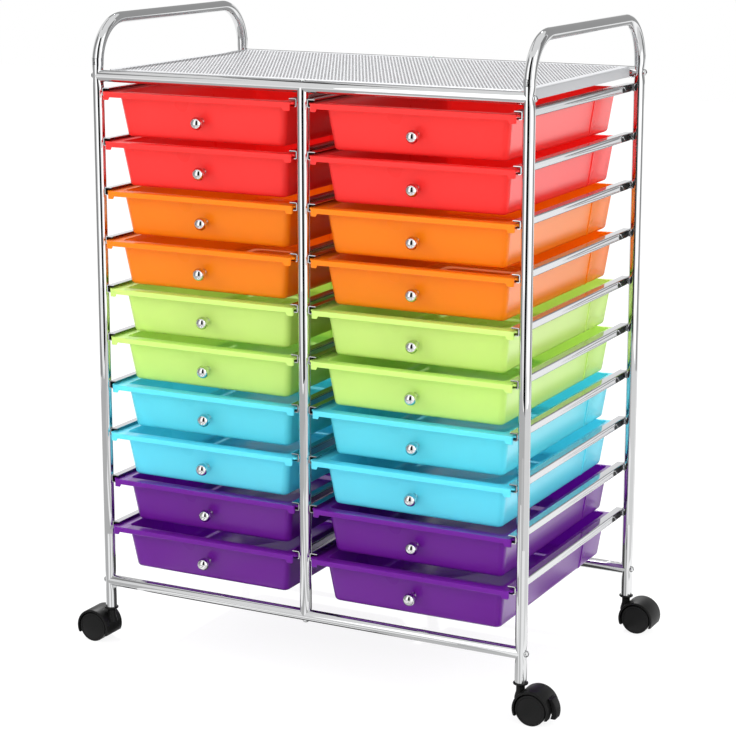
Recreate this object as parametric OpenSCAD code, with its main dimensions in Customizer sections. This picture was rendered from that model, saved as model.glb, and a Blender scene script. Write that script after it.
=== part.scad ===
// Rolling drawer tower: two columns of ten sliding trays in a chromed tube frame on four casters.
// Millimetres. X runs to the right, Y to the back, Z up. The fronts of the trays face -Y.
// The origin is on the floor, under the middle of the frame.

/* [Frame] */
// Distance between the axes of the left and right posts
frame_w = 635; // [520:1:780]
// Distance between the axes of the front and rear posts
frame_d = 384; // [320:1:470]
// Height from the floor to the top of the handles
frame_h = 890; // [720:1:1080]
// Outer diameter of the frame tubes
tube_d = 16; // [13:0.1:19.6]
// Wall thickness of the frame tubes
tube_wall = 1.2; // [0.8:0.1:2]
// Radius of the handle bends, on the tube's axis
bend_r = 60; // [40:1:72]
// Distance between the axes of the top rails and of the handles
handle_rise = 75; // [64:1:120]
// Distance between the lower ends of the posts and the axes of the bottom rails
leg_rise = 40; // [38:1:80]

/* [Runners] */
// Number of trays in a column
rows = 10; // [6:1:10]
// Distance from the top rails' undersides down to the middle of the top row's runners
top_row_gap = 13.3; // [10:0.1:30]
// Gap between the bottom trays and the tops of the bottom rails
bottom_gap = 14.7; // [5:0.1:40]
// Outer width and height of the runner channel
runner_s = 11; // [9:0.1:13.2]
// Sheet thickness of the runner channel
runner_t = 1; // [0.8:0.1:1.5]
// Outer corner radius of the runner channel
runner_r = 2; // [1.6:0.1:3]
// How far the runners reach past the post axes, at each end
runner_over = 3; // [0:0.5:7]
// Length of the window in the web of each outer runner, near the rear post
window_l = 36; // [20:1:45]
// Distance from the rear end of the runner to the window
window_end = 8; // [7:0.5:15]
// Width of the weld that joins a runner to a post
weld_w = 6; // [3:0.5:8]

/* [Trays] */
// Wall thickness of the trays
tray_t = 2; // [1.2:0.1:2.4]
// Gap between a tray's bottom and the rim of the tray below it
tray_gap = 6.2; // [3:0.1:12]
// Height of the rim's top above the middle of the runners
rim_up = 0.8; // [0:0.1:1.5]
// Gap between a runner's web and the edge of the tray's flange
slide_gap_x = 1.5; // [0.5:0.1:2]
// Gap between a runner's lower flange and the tray's flange
slide_gap_z = 0.3; // [0.2:0.05:0.6]
// Gap between a runner's open side and the tray's wall at its top
body_gap = 9; // [4:0.5:14]
// How far each side wall leans in from top to bottom
side_taper = 8; // [3:0.5:12]
// How far the front wall leans back from top to bottom
front_taper = 9; // [3:0.5:14]
// How far the rear wall leans forward from top to bottom
rear_taper = 8; // [3:0.5:14]
// Radius of the upright corners of the tray
tray_corner_r = 8; // [5:0.5:12]
// Size of the slope between the walls and the bottom of the tray
tray_foot = 3; // [2:0.5:5]
// Depth of the ledge between the front lip and the front wall
ledge_d = 15; // [10:0.5:20]
// Height of the front lip
lip_h = 7; // [5:0.5:12]
// How far the front lip's ends stand in from the edges of the side flanges
lip_inset = 3.75; // [2:0.25:6]
// Width of the stop tab at each end of the front lip
tab_w = 9; // [6:0.5:12]
// Height of the stop tab, from the top of the rim
tab_h = 10.8; // [8:0.1:16]
// Gap between a closed tray's tabs and the runners' front ends
home_gap = 1; // [0.5:0.1:2]
// Gap between the rear of the tray's rim and the runners' rear ends
rear_gap = 8; // [4:0.5:12]
// How far the trays stand out at rest, from the top row down, in the left column
left_out = [6, 3, 0, 6, 0, 0, 0, 6, 0, 6];
// How far the trays stand out at rest, from the top row down, in the right column
right_out = [3, 3, 3, 3, 1.5, 4.5, 0, 4.5, 0, 6];

/* [Knobs] */
// Diameter of the knob's ball
knob_d = 17.6; // [12:0.1:20]
// Distance from the tray's front wall to the middle of the ball
knob_stand = 12.8; // [11.5:0.1:18]
// Diameter of the knob's foot
knob_foot_d = 8.4; // [7:0.1:12]
// Height of the knob's fixing point below the middle of the runners
knob_drop = 33; // [25:0.5:40]
// Diameter of the knob's screw
knob_screw_d = 4; // [3:0.5:5]
// Diameter of the knob screw's head
knob_head_d = 8; // [6:0.5:10]
// Height of the knob screw's head
knob_head_h = 2.4; // [1.5:0.1:3]
// Diameter of the knob's neck, where it meets the ball
knob_neck_d = 6.3; // [5.5:0.1:9]

/* [Top shelf] */
// Sheet thickness of the shelf
shelf_t = 1; // [0.8:0.1:1.5]
// Height of the folded side edges of the shelf
shelf_fold = 14; // [8:0.5:16]
// Gap between the shelf's side edges and the posts' inner faces
shelf_gap = 1.5; // [0.5:0.1:3]
// Gap round each post in the shelf's corner cut-outs
shelf_corner_gap = 10; // [2:0.5:14]
// Plain border round the perforated field
shelf_border = 12; // [8:0.5:20]
// Distance between the holes of the shelf
hole_pitch = 20; // [18:0.5:40]
// Diameter of the holes of the shelf
hole_d = 6; // [3:0.5:10]

/* [Fasteners] */
// Diameter of the bolts that join posts and rails
bolt_d = 6; // [4:0.5:6.5]
// Radial gap between a screw's thread and its plug or knob
thread_gap = 0.05; // [0.03:0.01:0.1]
// Diameter of the bolt heads
bolt_head_d = 8; // [7:0.5:11]
// Height of the domed bolt heads
bolt_head_h = 3; // [2:0.1:4]
// Length of the threaded plugs in the tube ends
plug_l = 25; // [18:1:35]
// Gap between a post and the plugs beside it
plug_gap = 1; // [0.5:0.1:2]
// Solid end of each plug, past its thread
plug_floor = 1; // [1:0.5:3]
// Height that the flat heads of the upper middle screws stand proud
flush_head_h = 0.8; // [0.5:0.1:1.5]

/* [Casters] */
// Diameter of the caster wheels
wheel_d = 42; // [34:0.5:52]
// Distance from the swivel axis to the wheel axle
trail = 21; // [19:0.5:23]
// Overall width of the hood
hood_w = 39; // [34:0.5:46]
// Gap between the wheels' treads and the inside of the hood
hood_gap = 1.5; // [1:0.1:2]
// Thickness of the hood
hood_t = 3; // [2:0.1:4]
// Height of the hood's lower edges above the floor
hood_edge_z = 11; // [8:0.5:15]
// Diameter of the swivel neck
neck_d = 11.5; // [10:0.5:13]
// Thickness of the web between the two wheels
web_t = 6; // [4:0.5:7]
// Gap between the middle web's bosses and the wheels
wheel_gap = 0.5; // [0.3:0.1:1]
// How far the wheels' outer faces stand in from the hood's edges
wheel_inset = 0.5; // [0:0.1:2]
// Diameter of the wheel axle
axle_d = 5; // [4:0.5:6]
// Diameter of the stem inside the post
stem_d = 8; // [7:0.5:10]
// Diameter of the stem's lower end, which the housing turns on
spigot_d = 6; // [5:0.25:7]
// Radial gap of the running fits
fit_gap = 0.05; // [0.02:0.01:0.1]
// Height of the posts' lower ends above the top of the hood
post_gap = 3.5; // [3:0.5:20]
// How far the collar under the post stands out from the tube
collar_over = 2; // [1:0.5:4]
// Thickness of the collar under the post
collar_t = 1.8; // [1:0.1:3]
// Depth of the socket inside the post
socket_l = 32; // [20:1:34]
// Width of the brake lever's pedal
pedal_w = 16; // [12:0.5:22]

/* [Hidden] */
COLUMNS = ["left", "right"];
CORNERS = ["front_left", "front_right", "rear_left", "rear_right"];
BRAKED = ["front_right", "rear_left"];
function row_name(column, row) = str(column, row < 10 ? "_0" : "_", row);
$fn = 64;
// Segments of the corner cylinders inside a hull
hull_fn = 20;
// Overlap that keeps cuts and joined shapes clear of shared faces
eps = 0.01;

// The middle of the wheels, from the floor, and the hood over them
wheel_r = wheel_d / 2;
hood_in_r = wheel_r + hood_gap;
hood_r = hood_in_r + hood_t;
post_bottom = wheel_r + hood_r + post_gap;

tube_r = tube_d / 2;
tube_in_r = tube_r - tube_wall;
post_x = frame_w / 2;
post_y = frame_d / 2;
handle_z = frame_h - tube_r;
bend_z = handle_z - bend_r;
half_depth = post_y - bend_r;
top_rail_z = handle_z - handle_rise;
bottom_rail_z = post_bottom + leg_rise;

// The rows share the height between the rails
top_row_z = top_rail_z - tube_r - top_row_gap;
stack_h = top_row_z + rim_up + tray_gap - bottom_rail_z - tube_r - bottom_gap;
row_pitch = stack_h / rows;
tray_h = row_pitch - tray_gap;
tray_drop = tray_h - rim_up;

// From the middle of a column to the outer faces of its runners, which touch the posts
column_x = frame_w / 4;
column_half = column_x - tube_r;
runner_front = -post_y - runner_over;
runner_rear = post_y + runner_over;
runner_in_r = runner_r - runner_t;
runner_in_h = runner_s - 2 * runner_t;

// Gap between the end of a screw or stem and the end of its hole
end_gap = 1;

// The tray's flanges and walls, from the middle of its column
flange_half = column_half - runner_t - slide_gap_x;
lip_half = flange_half - lip_inset;
flange_back = 2;
body_half = column_half - runner_s - body_gap;
flange_foot = -runner_in_h / 2 + slide_gap_z;
lip_front = runner_front - home_gap - tray_t;
rim_rear = runner_rear - rear_gap;
wall_front = lip_front + ledge_d;
wall_rear = rim_rear - tray_t;
front_lean = atan(front_taper / tray_h);
// How far the knob's screw reaches past the middle of the ball
knob_screw_in = 2;

// The stack between a housing's neck and its post
collar_d = tube_d + 2 * collar_over;
stem_gap = 0.3;
washer_t = 1.6;
socket_floor = 2;
washer_d = 10.5;
washer_top = post_bottom - collar_t;
neck_top = washer_top - washer_t - stem_gap;
neck_low = 8;
neck_floor = 2;
neck_bottom = wheel_r + neck_low;
spigot_bottom = neck_bottom + neck_floor;
boss_out = 3;
boss_half = web_t / 2 + boss_out;
wheel_in = boss_half + wheel_gap;
wheel_out = hood_w / 2 - wheel_inset;
tread_t = 3.5;
disc_t = 2;
hub_r = 5;
boss_r = 6;
web_reach = 6;

// The brake lever's pin, seen from the wheel's middle
pin_a = 48;
pin_in = 3.5;
pin_at = wheel_r - pin_in;
pin_d = 3;
pin_x = pin_at * cos(pin_a);
pin_z = pin_at * sin(pin_a);
ear_r = 3.4;
ear_a = 9;
ear_gap = 0.2;
lever_hub_r = 3;
arm_w = 5;
arm_low_a = -3;
bridge_h = 7;
bridge_low = -3;
bridge_in = 1;
pedal_gap = 0.8;
pedal_shift = [5, -1];
pedal_bulge = 1.2;
pedal_low = -10;
pedal_high = 16;
slot_gap = 0.5;
slot_a = 38;
far = 100;

function column_at(column) = column == "left" ? -column_x : column_x;
function row_z(row) = top_row_z - (row - 1) * row_pitch;
function rest_out(column, row) = column == "left" ? left_out[row - 1] : right_out[row - 1];
function side_x(corner) = (corner == "front_left" || corner == "rear_left") ? -1 : 1;
function side_y(corner) = (corner == "front_left" || corner == "front_right") ? -1 : 1;
function has_brake(corner) = len([for (b = BRAKED) if (b == corner) 1]) > 0;
function row_color(row) =
    row <= 2 ? "#ff4949" :
    row <= 4 ? "#ff8020" :
    row <= 6 ? "#bcea7a" :
    row <= 8 ? "#6fddf5" : "#752d96";

// ---- Shared shapes ----

// A cylinder along X, centred on the origin
module bar_x(d, l) {
    rotate([0, 90, 0])
        cylinder(d = d, h = l, center = true);
}

// A cylinder along Y, centred on the origin
module bar_y(d, l) {
    rotate([90, 0, 0])
        cylinder(d = d, h = l, center = true);
}

// Turns an outline drawn in X and Z into a plate of the given width, centred on Y = 0
module upright(w) {
    rotate([90, 0, 0])
        linear_extrude(w, center = true)
            children();
}

// A domed head that stands on the plane Z = 0
module dome(d, h) {
    ball_r = (d * d / 4 + h * h) / (2 * h);
    intersection() {
        translate([0, 0, h - ball_r])
            sphere(r = ball_r);
        cylinder(d = d, h = h);
    }
}

// The four places of a post's or rail's end, as children at each corner
module at_corners() {
    for (c = CORNERS)
        translate([side_x(c) * post_x, side_y(c) * post_y, 0])
            children();
}

// ---- Tube frame ----

// The outline of one side frame's tube, at the given radius, its legs from z = low
module side_path(r, low) {
    for (s = [-1, 1]) {
        translate([0, s * post_y, low])
            cylinder(r = r, h = bend_z - low);
        translate([0, s * half_depth, bend_z])
            rotate([90, 0, s * 90])
                rotate_extrude(angle = 90)
                    translate([bend_r, 0])
                        circle(r = r);
    }
    translate([0, 0, handle_z])
        bar_y(2 * r, 2 * half_depth);
}

// One side frame: two legs and the handle, bent from one tube, with its bolt holes
module side_frame(side) {
    color("silver")
        translate([side * post_x, 0, 0])
            difference() {
                side_path(tube_r, post_bottom);
                side_path(tube_in_r, post_bottom - 1);
                for (s = [-1, 1], z = [bottom_rail_z, top_rail_z])
                    translate([0, s * post_y, z])
                        bar_x(bolt_d, tube_d + 2);
            }
}

// The four rails, coped to the posts, with a hole for the middle post's screw
module cross_rails() {
    color("silver")
        for (s = [-1, 1], z = [bottom_rail_z, top_rail_z])
            translate([0, s * post_y, z])
                difference() {
                    bar_x(tube_d, frame_w);
                    bar_x(2 * tube_in_r, frame_w + 2);
                    for (x = [-post_x, post_x])
                        translate([x, 0, 0])
                            cylinder(r = tube_r, h = 2 * tube_d, center = true);
                    cylinder(d = bolt_d, h = tube_d + 2, center = true);
                }
}

// The two middle posts, coped to the rails
module middle_posts() {
    color("silver")
        for (s = [-1, 1])
            translate([0, s * post_y, 0])
                difference() {
                    translate([0, 0, bottom_rail_z])
                        cylinder(r = tube_r, h = top_rail_z - bottom_rail_z);
                    translate([0, 0, bottom_rail_z - 1])
                        cylinder(r = tube_in_r, h = top_rail_z - bottom_rail_z + 2);
                    for (z = [bottom_rail_z, top_rail_z])
                        translate([0, 0, z])
                            bar_x(tube_d, 2 * tube_d);
                }
}

// A bolt along +X from its head at x = 0, and the threaded plug that starts at plug_at
module rail_bolt(plug_at) {
    rotate([0, -90, 0])
        dome(bolt_head_d, bolt_head_h);
    rotate([0, 90, 0])
        cylinder(d = bolt_d, h = plug_at + plug_l - plug_floor - end_gap);
}

// The plug in a rail's end, clear of the post
module rail_plug(plug_at) {
    rotate([0, 90, 0])
        difference() {
            translate([0, 0, plug_at])
                cylinder(r = tube_in_r, h = plug_l);
            cylinder(r = bolt_d / 2 + thread_gap, h = plug_at + plug_l - plug_floor);
        }
}

// The plug in a middle post's end and its screw, upwards from the rail's axis at z = 0
module post_plug() {
    difference() {
        translate([0, 0, tube_r])
            cylinder(r = tube_in_r, h = plug_l);
        cylinder(r = bolt_d / 2 + thread_gap, h = tube_r + plug_l - plug_floor);
    }
}

// The bolts, screws and threaded plugs that hold the frame together
module frame_screws() {
    plug_at = tube_d + plug_gap;
    post_screw_l = tube_d + plug_l - plug_floor - end_gap;
    color("silver") {
        for (sx = [-1, 1], sy = [-1, 1], z = [bottom_rail_z, top_rail_z])
            translate([sx * (post_x + tube_r), sy * post_y, z])
                rotate([0, 0, sx > 0 ? 180 : 0]) {
                    rail_bolt(plug_at);
                    rail_plug(plug_at);
                }
        for (s = [-1, 1]) {
            translate([0, s * post_y, bottom_rail_z]) {
                post_plug();
                translate([0, 0, -tube_r])
                    rotate([180, 0, 0])
                        dome(bolt_head_d, bolt_head_h);
                translate([0, 0, -tube_r])
                    cylinder(d = bolt_d, h = post_screw_l);
            }
            translate([0, s * post_y, top_rail_z])
                rotate([180, 0, 0]) {
                    post_plug();
                    translate([0, 0, -tube_r - flush_head_h])
                        cylinder(d = bolt_head_d, h = flush_head_h);
                    translate([0, 0, -tube_r])
                        cylinder(d = bolt_d, h = post_screw_l);
                }
        }
    }
}

// ---- Runners ----

// A square of side s from x = 0, with its two corners at x = 0 rounded
module half_rounded(s, h, r) {
    translate([r, -h / 2])
        square([s - r, h]);
    translate([0, -h / 2 + r])
        square([s, h - 2 * r]);
    for (y = [-1, 1])
        translate([r, y * (h / 2 - r)])
            circle(r = r);
}

// The channel's section: its web is at x = 0 and it opens towards +X
module runner_section() {
    difference() {
        half_rounded(runner_s, runner_s, runner_r);
        translate([runner_t, 0])
            half_rounded(runner_s, runner_in_h, runner_in_r);
    }
}

// One runner along Y with its outer face at x = 0, welded to a post at each end
module runner(windowed) {
    run = runner_rear - runner_front;
    slot_r = runner_in_h / 2;
    difference() {
        union() {
            translate([0, (runner_front + runner_rear) / 2, 0])
                upright(run)
                    runner_section();
            translate([runner_t / 2, runner_rear - runner_t, -runner_in_h / 2 - eps])
                cube([runner_s - runner_t, runner_t, runner_in_h + 2 * eps]);
        }
        if (windowed)
            for (y = [window_end + slot_r, window_end + window_l - slot_r])
                translate([0, runner_rear - y, 0])
                    bar_x(2 * slot_r, 2 * runner_t + 2 * eps);
        if (windowed)
            translate([-1, runner_rear - window_end - window_l + slot_r, -slot_r])
                cube([runner_t + 1 + eps, window_l - 2 * slot_r, 2 * slot_r]);
    }
    // Welds that fill the wedge between the flat web and the round post
    for (s = [-1, 1])
        difference() {
            translate([-tube_r / 2, s * post_y - weld_w / 2, -runner_in_h / 2])
                cube([tube_r / 2 + eps, weld_w, runner_in_h]);
            translate([-tube_r, s * post_y, 0])
                cylinder(r = tube_r, h = 2 * runner_s, center = true);
            translate([-tube_d, s * post_y - weld_w, -runner_s])
                cube([tube_r, 2 * weld_w, 2 * runner_s]);
        }
}

// The runners on the side frames, which open towards the middle
module side_runners() {
    color("gainsboro")
        for (s = [-1, 1], r = [1:rows])
            translate([s * (post_x - tube_r), 0, row_z(r)])
                mirror([s > 0 ? 1 : 0, 0, 0])
                    runner(true);
}

// The runners on both sides of the middle posts
module middle_runners() {
    color("gainsboro")
        for (s = [-1, 1], r = [1:rows])
            translate([s * tube_r, 0, row_z(r)])
                mirror([s > 0 ? 0 : 1, 0, 0])
                    runner(false);
}

// ---- Top shelf ----

// The outline of the shelf's sheet, cut round the four posts
module shelf_outline(half_x, half_y) {
    difference() {
        square([2 * half_x, 2 * half_y], center = true);
        for (x = [-post_x, post_x], y = [-post_y, post_y])
            translate([x, y])
                circle(r = tube_r + shelf_corner_gap);
    }
}

// The perforated sheet with its edges folded down between the rails and the side frames
module top_shelf() {
    top = top_rail_z + tube_r;
    half_x = post_x - tube_r - shelf_gap;
    half_y = post_y - tube_r;
    corner = sqrt(pow(tube_r + shelf_corner_gap, 2) - tube_r * tube_r);
    field_x = half_x - shelf_border;
    field_y = half_y - shelf_border;
    nx = floor(field_x / hole_pitch);
    ny = floor(field_y / hole_pitch);
    side_l = post_y - tube_r - shelf_corner_gap;
    lip_x = half_x - corner - shelf_t;
    lip_z = tube_r + 2 * shelf_t;
    color("lightgray") {
        translate([0, 0, top - shelf_t])
            linear_extrude(shelf_t)
                difference() {
                    shelf_outline(half_x, half_y);
                    for (i = [-nx:nx], j = [-ny:ny])
                        translate([i * hole_pitch, j * hole_pitch])
                            circle(d = hole_d);
                }
        for (s = [-1, 1])
            translate([s * (half_x - shelf_t / 2), 0, top - shelf_fold / 2])
                cube([shelf_t, 2 * side_l, shelf_fold], center = true);
        for (s = [-1, 1])
            difference() {
                translate([0, s * (half_y - shelf_t / 2 + eps / 2), top - lip_z / 2])
                    cube([2 * lip_x, shelf_t + eps, lip_z], center = true);
                translate([0, s * post_y, top_rail_z])
                    bar_x(tube_d, frame_w);
            }
    }
}

// ---- Trays ----

// A tray's tapered body between two heights, inset by a wall, with sloping foot edges
module tray_form(inset, floor_up, top_up) {
    top = rim_up + top_up;
    low = -tray_drop + floor_up;
    foot = tray_foot;
    r = tray_corner_r - inset / 2;
    // [height, extra inset] of the three rings
    rings = [[top, 0], [low + foot, 0], [low, foot]];
    hull()
        for (ring = rings) {
            z = ring[0];
            share = (rim_up - z) / tray_h;
            in = inset + ring[1];
            x = body_half - share * side_taper - in - r;
            front = wall_front + share * front_taper + in + r;
            rear = wall_rear - share * rear_taper - in - r;
            for (sx = [-1, 1], y = [front, rear])
                translate([sx * x, y, z])
                    cylinder(r = r, h = eps, center = true, $fn = hull_fn);
        }
}

// The flat rim's outline: the front lip is narrower than the flanges in the runners
module rim_outline() {
    r = tray_corner_r / 2;
    front = runner_front + r + flange_back;
    translate([-lip_half, lip_front])
        square([2 * lip_half, front - lip_front + r]);
    translate([-flange_half + r, front])
        square([2 * (flange_half - r), rim_rear - front]);
    translate([-flange_half, front + r])
        square([2 * flange_half, rim_rear - front - 2 * r]);
    for (sx = [-1, 1], y = [front + r, rim_rear - r])
        translate([sx * (flange_half - r), y])
            circle(r = r);
}

// The knob's fixing point on the tray's front wall, with +Z out of the wall
module at_knob() {
    share = (knob_drop + rim_up) / tray_h;
    translate([0, wall_front + share * front_taper, -knob_drop])
        rotate([90 + front_lean, 0, 0])
            children();
}

// One tray, in its closed place, with the middle of its runners at z = 0
module tray() {
    lip_up = rim_up - lip_h;
    tab_up = rim_up - tab_h;
    foot_l = rim_rear - runner_front - 2 * tray_corner_r;
    difference() {
        union() {
            tray_form(0, 0, 0);
            translate([0, 0, rim_up - tray_t])
                linear_extrude(tray_t)
                    rim_outline();
            // The front lip and its stop tabs
            translate([-lip_half, lip_front, lip_up])
                cube([2 * lip_half, tray_t, lip_h]);
            for (s = [-1, 1])
                translate([s * (lip_half - tab_w / 2) - tab_w / 2, lip_front, tab_up])
                    cube([tab_w, tray_t, tab_h]);
            // The feet of the flanges, which slide in the runners
            for (s = [-1, 1])
                translate([s * (flange_half - tray_t / 2) - tray_t / 2,
                           runner_front + tray_corner_r, flange_foot])
                    cube([tray_t, foot_l, rim_up - flange_foot]);
        }
        tray_form(tray_t, tray_t, 1);
        at_knob()
            cylinder(d = knob_screw_d + 2 * fit_gap, h = 6 * tray_t, center = true);
    }
}

// Places a tray, or its knob, in its column and row as it stands at rest
module at_tray(column, row) {
    translate([column_at(column), -rest_out(column, row), row_z(row)])
        children();
}

module drawer(column, row) {
    color(row_color(row))
        at_tray(column, row)
            tray();
}

// The ball knob with its foot on the wall, and the screw that holds it from inside
module knob(column, row) {
    screw_l = knob_stand + knob_screw_in;
    color("silver")
        at_tray(column, row)
            at_knob() {
                difference() {
                    union() {
                        translate([0, 0, knob_stand])
                            sphere(d = knob_d);
                        translate([0, 0, eps])
                            cylinder(d1 = knob_foot_d, d2 = knob_neck_d, h = knob_stand - knob_d / 4);
                    }
                    cylinder(r = knob_screw_d / 2 + thread_gap, h = screw_l + end_gap);
                }
                translate([0, 0, -tray_t])
                    cylinder(d = knob_screw_d, h = screw_l + tray_t);
                translate([0, 0, -tray_t])
                    rotate([180, 0, 0])
                        dome(knob_head_d, knob_head_h);
            }
}

// ---- Casters ----

// The plastic sockets in the posts, each with a collar under the tube
module caster_sockets() {
    color("#222222")
        at_corners()
            difference() {
                union() {
                    translate([0, 0, washer_top])
                        cylinder(d = collar_d, h = collar_t);
                    translate([0, 0, post_bottom - eps])
                        cylinder(r = tube_in_r, h = socket_l);
                }
                translate([0, 0, washer_top - eps])
                    cylinder(r = stem_d / 2 + fit_gap, h = collar_t + socket_l - socket_floor);
            }
}

// The steel stems: a shank in the socket, a washer, and the spigot that the housing turns on
module caster_stems() {
    color("silver")
        at_corners() {
            translate([0, 0, spigot_bottom])
                cylinder(d = spigot_d, h = washer_top - spigot_bottom);
            translate([0, 0, washer_top - washer_t])
                cylinder(d = washer_d, h = washer_t);
            translate([0, 0, washer_top - eps])
                cylinder(d = stem_d, h = collar_t + socket_l - socket_floor - end_gap);
        }
}

// Places a caster's parts: the swivel axis is at the corner's post, trailing outwards
module at_caster(corner) {
    translate([side_x(corner) * post_x, side_y(corner) * post_y, 0])
        rotate([0, 0, side_x(corner) > 0 ? 0 : 180])
            children();
}

// Everything outside a wedge of the plane, from angle a to angle b, is cut away
module wedge(a, b) {
    intersection() {
        children();
        polygon([[0, 0], [far * cos(a), far * sin(a)],
                 [far * cos((a + b) / 2), far * sin((a + b) / 2)], [far * cos(b), far * sin(b)]]);
    }
}

// The hood over both wheels and the web between them, seen from the wheels' middle
module hood_ring() {
    difference() {
        circle(r = hood_r);
        circle(r = hood_in_r);
        translate([-far / 2, hood_edge_z - wheel_r - far])
            square([far, far]);
    }
}

module web_outline() {
    intersection() {
        circle(r = hood_in_r + eps);
        translate([-hood_r, hood_edge_z - wheel_r])
            square([hood_r + web_reach, far]);
    }
}

// The two ears under the hood that carry the brake lever's pin
module brake_ears() {
    ear_in = web_t / 2 + ear_gap;
    ear_t = boss_half - ear_in;
    for (s = [-1, 1])
        translate([0, s * (ear_in + ear_t / 2), 0])
            upright(ear_t) {
                translate([pin_x, pin_z])
                    circle(r = ear_r);
                wedge(pin_a - ear_a, pin_a + ear_a)
                    difference() {
                        circle(r = hood_in_r + eps);
                        circle(r = pin_at);
                    }
            }
}

// One caster's housing: hood, web, neck and axle boss, with its bores
module caster_housing(corner) {
    braked = has_brake(corner);
    slot_w = pedal_w + 2 * slot_gap;
    color("#262626")
        at_caster(corner)
            difference() {
                union() {
                    translate([trail, 0, wheel_r]) {
                        difference() {
                            upright(hood_w)
                                hood_ring();
                            if (braked)
                                upright(slot_w)
                                    wedge(-slot_a, slot_a)
                                        circle(r = hood_r + 1);
                        }
                        upright(web_t)
                            web_outline();
                        bar_y(2 * boss_r, 2 * boss_half);
                        if (braked)
                            brake_ears();
                    }
                    translate([0, 0, neck_bottom])
                        cylinder(d = neck_d, h = neck_top - neck_bottom);
                }
                translate([0, 0, spigot_bottom - stem_gap])
                    cylinder(r = spigot_d / 2 + fit_gap, h = neck_top);
                translate([trail, 0, wheel_r])
                    bar_y(axle_d + 2 * fit_gap, hood_w);
                if (braked)
                    translate([trail + pin_x, 0, wheel_r + pin_z])
                        bar_y(pin_d + 2 * fit_gap, hood_w);
            }
}

// Half of a wheel's section: radius against distance from the caster's middle
module wheel_section() {
    edge = 1;
    rim_r = wheel_r - tread_t;
    bore_r = axle_d / 2 + fit_gap;
    polygon([
        [bore_r, wheel_in], [hub_r, wheel_in], [hub_r, wheel_out - disc_t],
        [rim_r, wheel_out - disc_t], [rim_r, wheel_in], [wheel_r - edge, wheel_in],
        [wheel_r, wheel_in + edge], [wheel_r, wheel_out - 2 * edge],
        [wheel_r - edge, wheel_out - edge / 2], [rim_r, wheel_out], [bore_r, wheel_out]
    ]);
}

// Two wheels and the axle that joins them
module caster_wheels(corner) {
    color("#303030")
        at_caster(corner)
            translate([trail, 0, wheel_r]) {
                for (s = [-1, 1])
                    rotate([s * 90, 0, 0])
                        rotate_extrude()
                            wheel_section();
                bar_y(axle_d, 2 * (wheel_out - end_gap));
            }
}

// The brake lever and its pin: the pedal stands outside the hood and the arm turns between the wheels
module caster_brake(corner) {
    arm_out = pin_at + arm_w / 2;
    arm_in = pin_at - arm_w / 2;
    pedal_r = hood_r + pedal_gap;
    color("#1c1c1c")
        at_caster(corner)
            translate([trail, 0, wheel_r]) {
                difference() {
                    union() {
                        upright(web_t) {
                            translate([pin_x, pin_z])
                                circle(r = lever_hub_r);
                            wedge(arm_low_a, pin_a)
                                difference() {
                                    circle(r = arm_out);
                                    circle(r = arm_in);
                                }
                            translate([arm_in + bridge_in, bridge_low])
                                square([pedal_r - arm_in, bridge_h]);
                        }
                        upright(pedal_w)
                            intersection() {
                                difference() {
                                    translate(pedal_shift)
                                        circle(r = pedal_r + pedal_bulge);
                                    circle(r = pedal_r);
                                }
                                translate([0, pedal_low])
                                    square([far, pedal_high - pedal_low]);
                            }
                    }
                    translate([pin_x, 0, pin_z])
                        bar_y(pin_d + 2 * fit_gap, hood_w);
                }
                translate([pin_x, 0, pin_z])
                    bar_y(pin_d, 2 * boss_half);
            }
}

// ---- Nodes ----

side_frame(-1);  // side_frame_left
side_frame(1);  // side_frame_right
middle_posts();
cross_rails();
top_shelf();
side_runners();
middle_runners();
frame_screws();
caster_sockets();
caster_stems();
for (c = COLUMNS, r = [1:rows]) {
    drawer(c, r);
    knob(c, r);
}
for (c = CORNERS) {
    caster_housing(c);
    caster_wheels(c);
}
for (c = BRAKED)
    caster_brake(c);
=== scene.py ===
"""Looks of a rolling drawer tower: twenty trays in a chromed tube frame on four casters.

Everything is in metres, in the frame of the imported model: X to the right, Y to the back, Z up.
The trays open towards -Y.
"""

import logging
import math
from dataclasses import dataclass, field
from enum import Enum
from typing import Any, Iterable, Sequence

import bmesh
import bpy
from mathutils import Matrix, Vector
from mathutils.geometry import tessellate_polygon


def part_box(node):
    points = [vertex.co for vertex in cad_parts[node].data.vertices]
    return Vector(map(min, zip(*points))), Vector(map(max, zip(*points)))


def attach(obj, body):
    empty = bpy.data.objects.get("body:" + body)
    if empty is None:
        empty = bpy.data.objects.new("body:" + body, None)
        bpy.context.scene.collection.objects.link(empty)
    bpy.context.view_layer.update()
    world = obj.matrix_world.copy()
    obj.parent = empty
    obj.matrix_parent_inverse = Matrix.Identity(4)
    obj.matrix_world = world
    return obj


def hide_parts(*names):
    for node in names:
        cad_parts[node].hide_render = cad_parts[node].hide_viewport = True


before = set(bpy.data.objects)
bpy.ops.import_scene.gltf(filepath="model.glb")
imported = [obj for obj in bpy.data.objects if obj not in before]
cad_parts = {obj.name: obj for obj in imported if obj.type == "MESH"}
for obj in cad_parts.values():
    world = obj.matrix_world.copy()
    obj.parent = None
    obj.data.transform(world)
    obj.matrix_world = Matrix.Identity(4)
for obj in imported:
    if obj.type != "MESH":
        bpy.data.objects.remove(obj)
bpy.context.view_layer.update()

LOG = logging.getLogger("drawer_tower")
MM = 0.001
ROWS = 10
MIX_FIRST, MIX_SECOND, MIX_RESULT = 6, 7, 2  # a Mix node's colour sockets, which share their names
WHITE = (1.0, 1.0, 1.0, 1.0)
SAME_PLACE = 1e-6  # points nearer than this are one
TINY = 1e-9  # numbers nearer than this are the same
TIP = 0.1 * MM  # radius at which a turned shape's middle is closed

Place = tuple[float, float, float]
Flat = tuple[float, float]
Colour = tuple[float, float, float]


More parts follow.
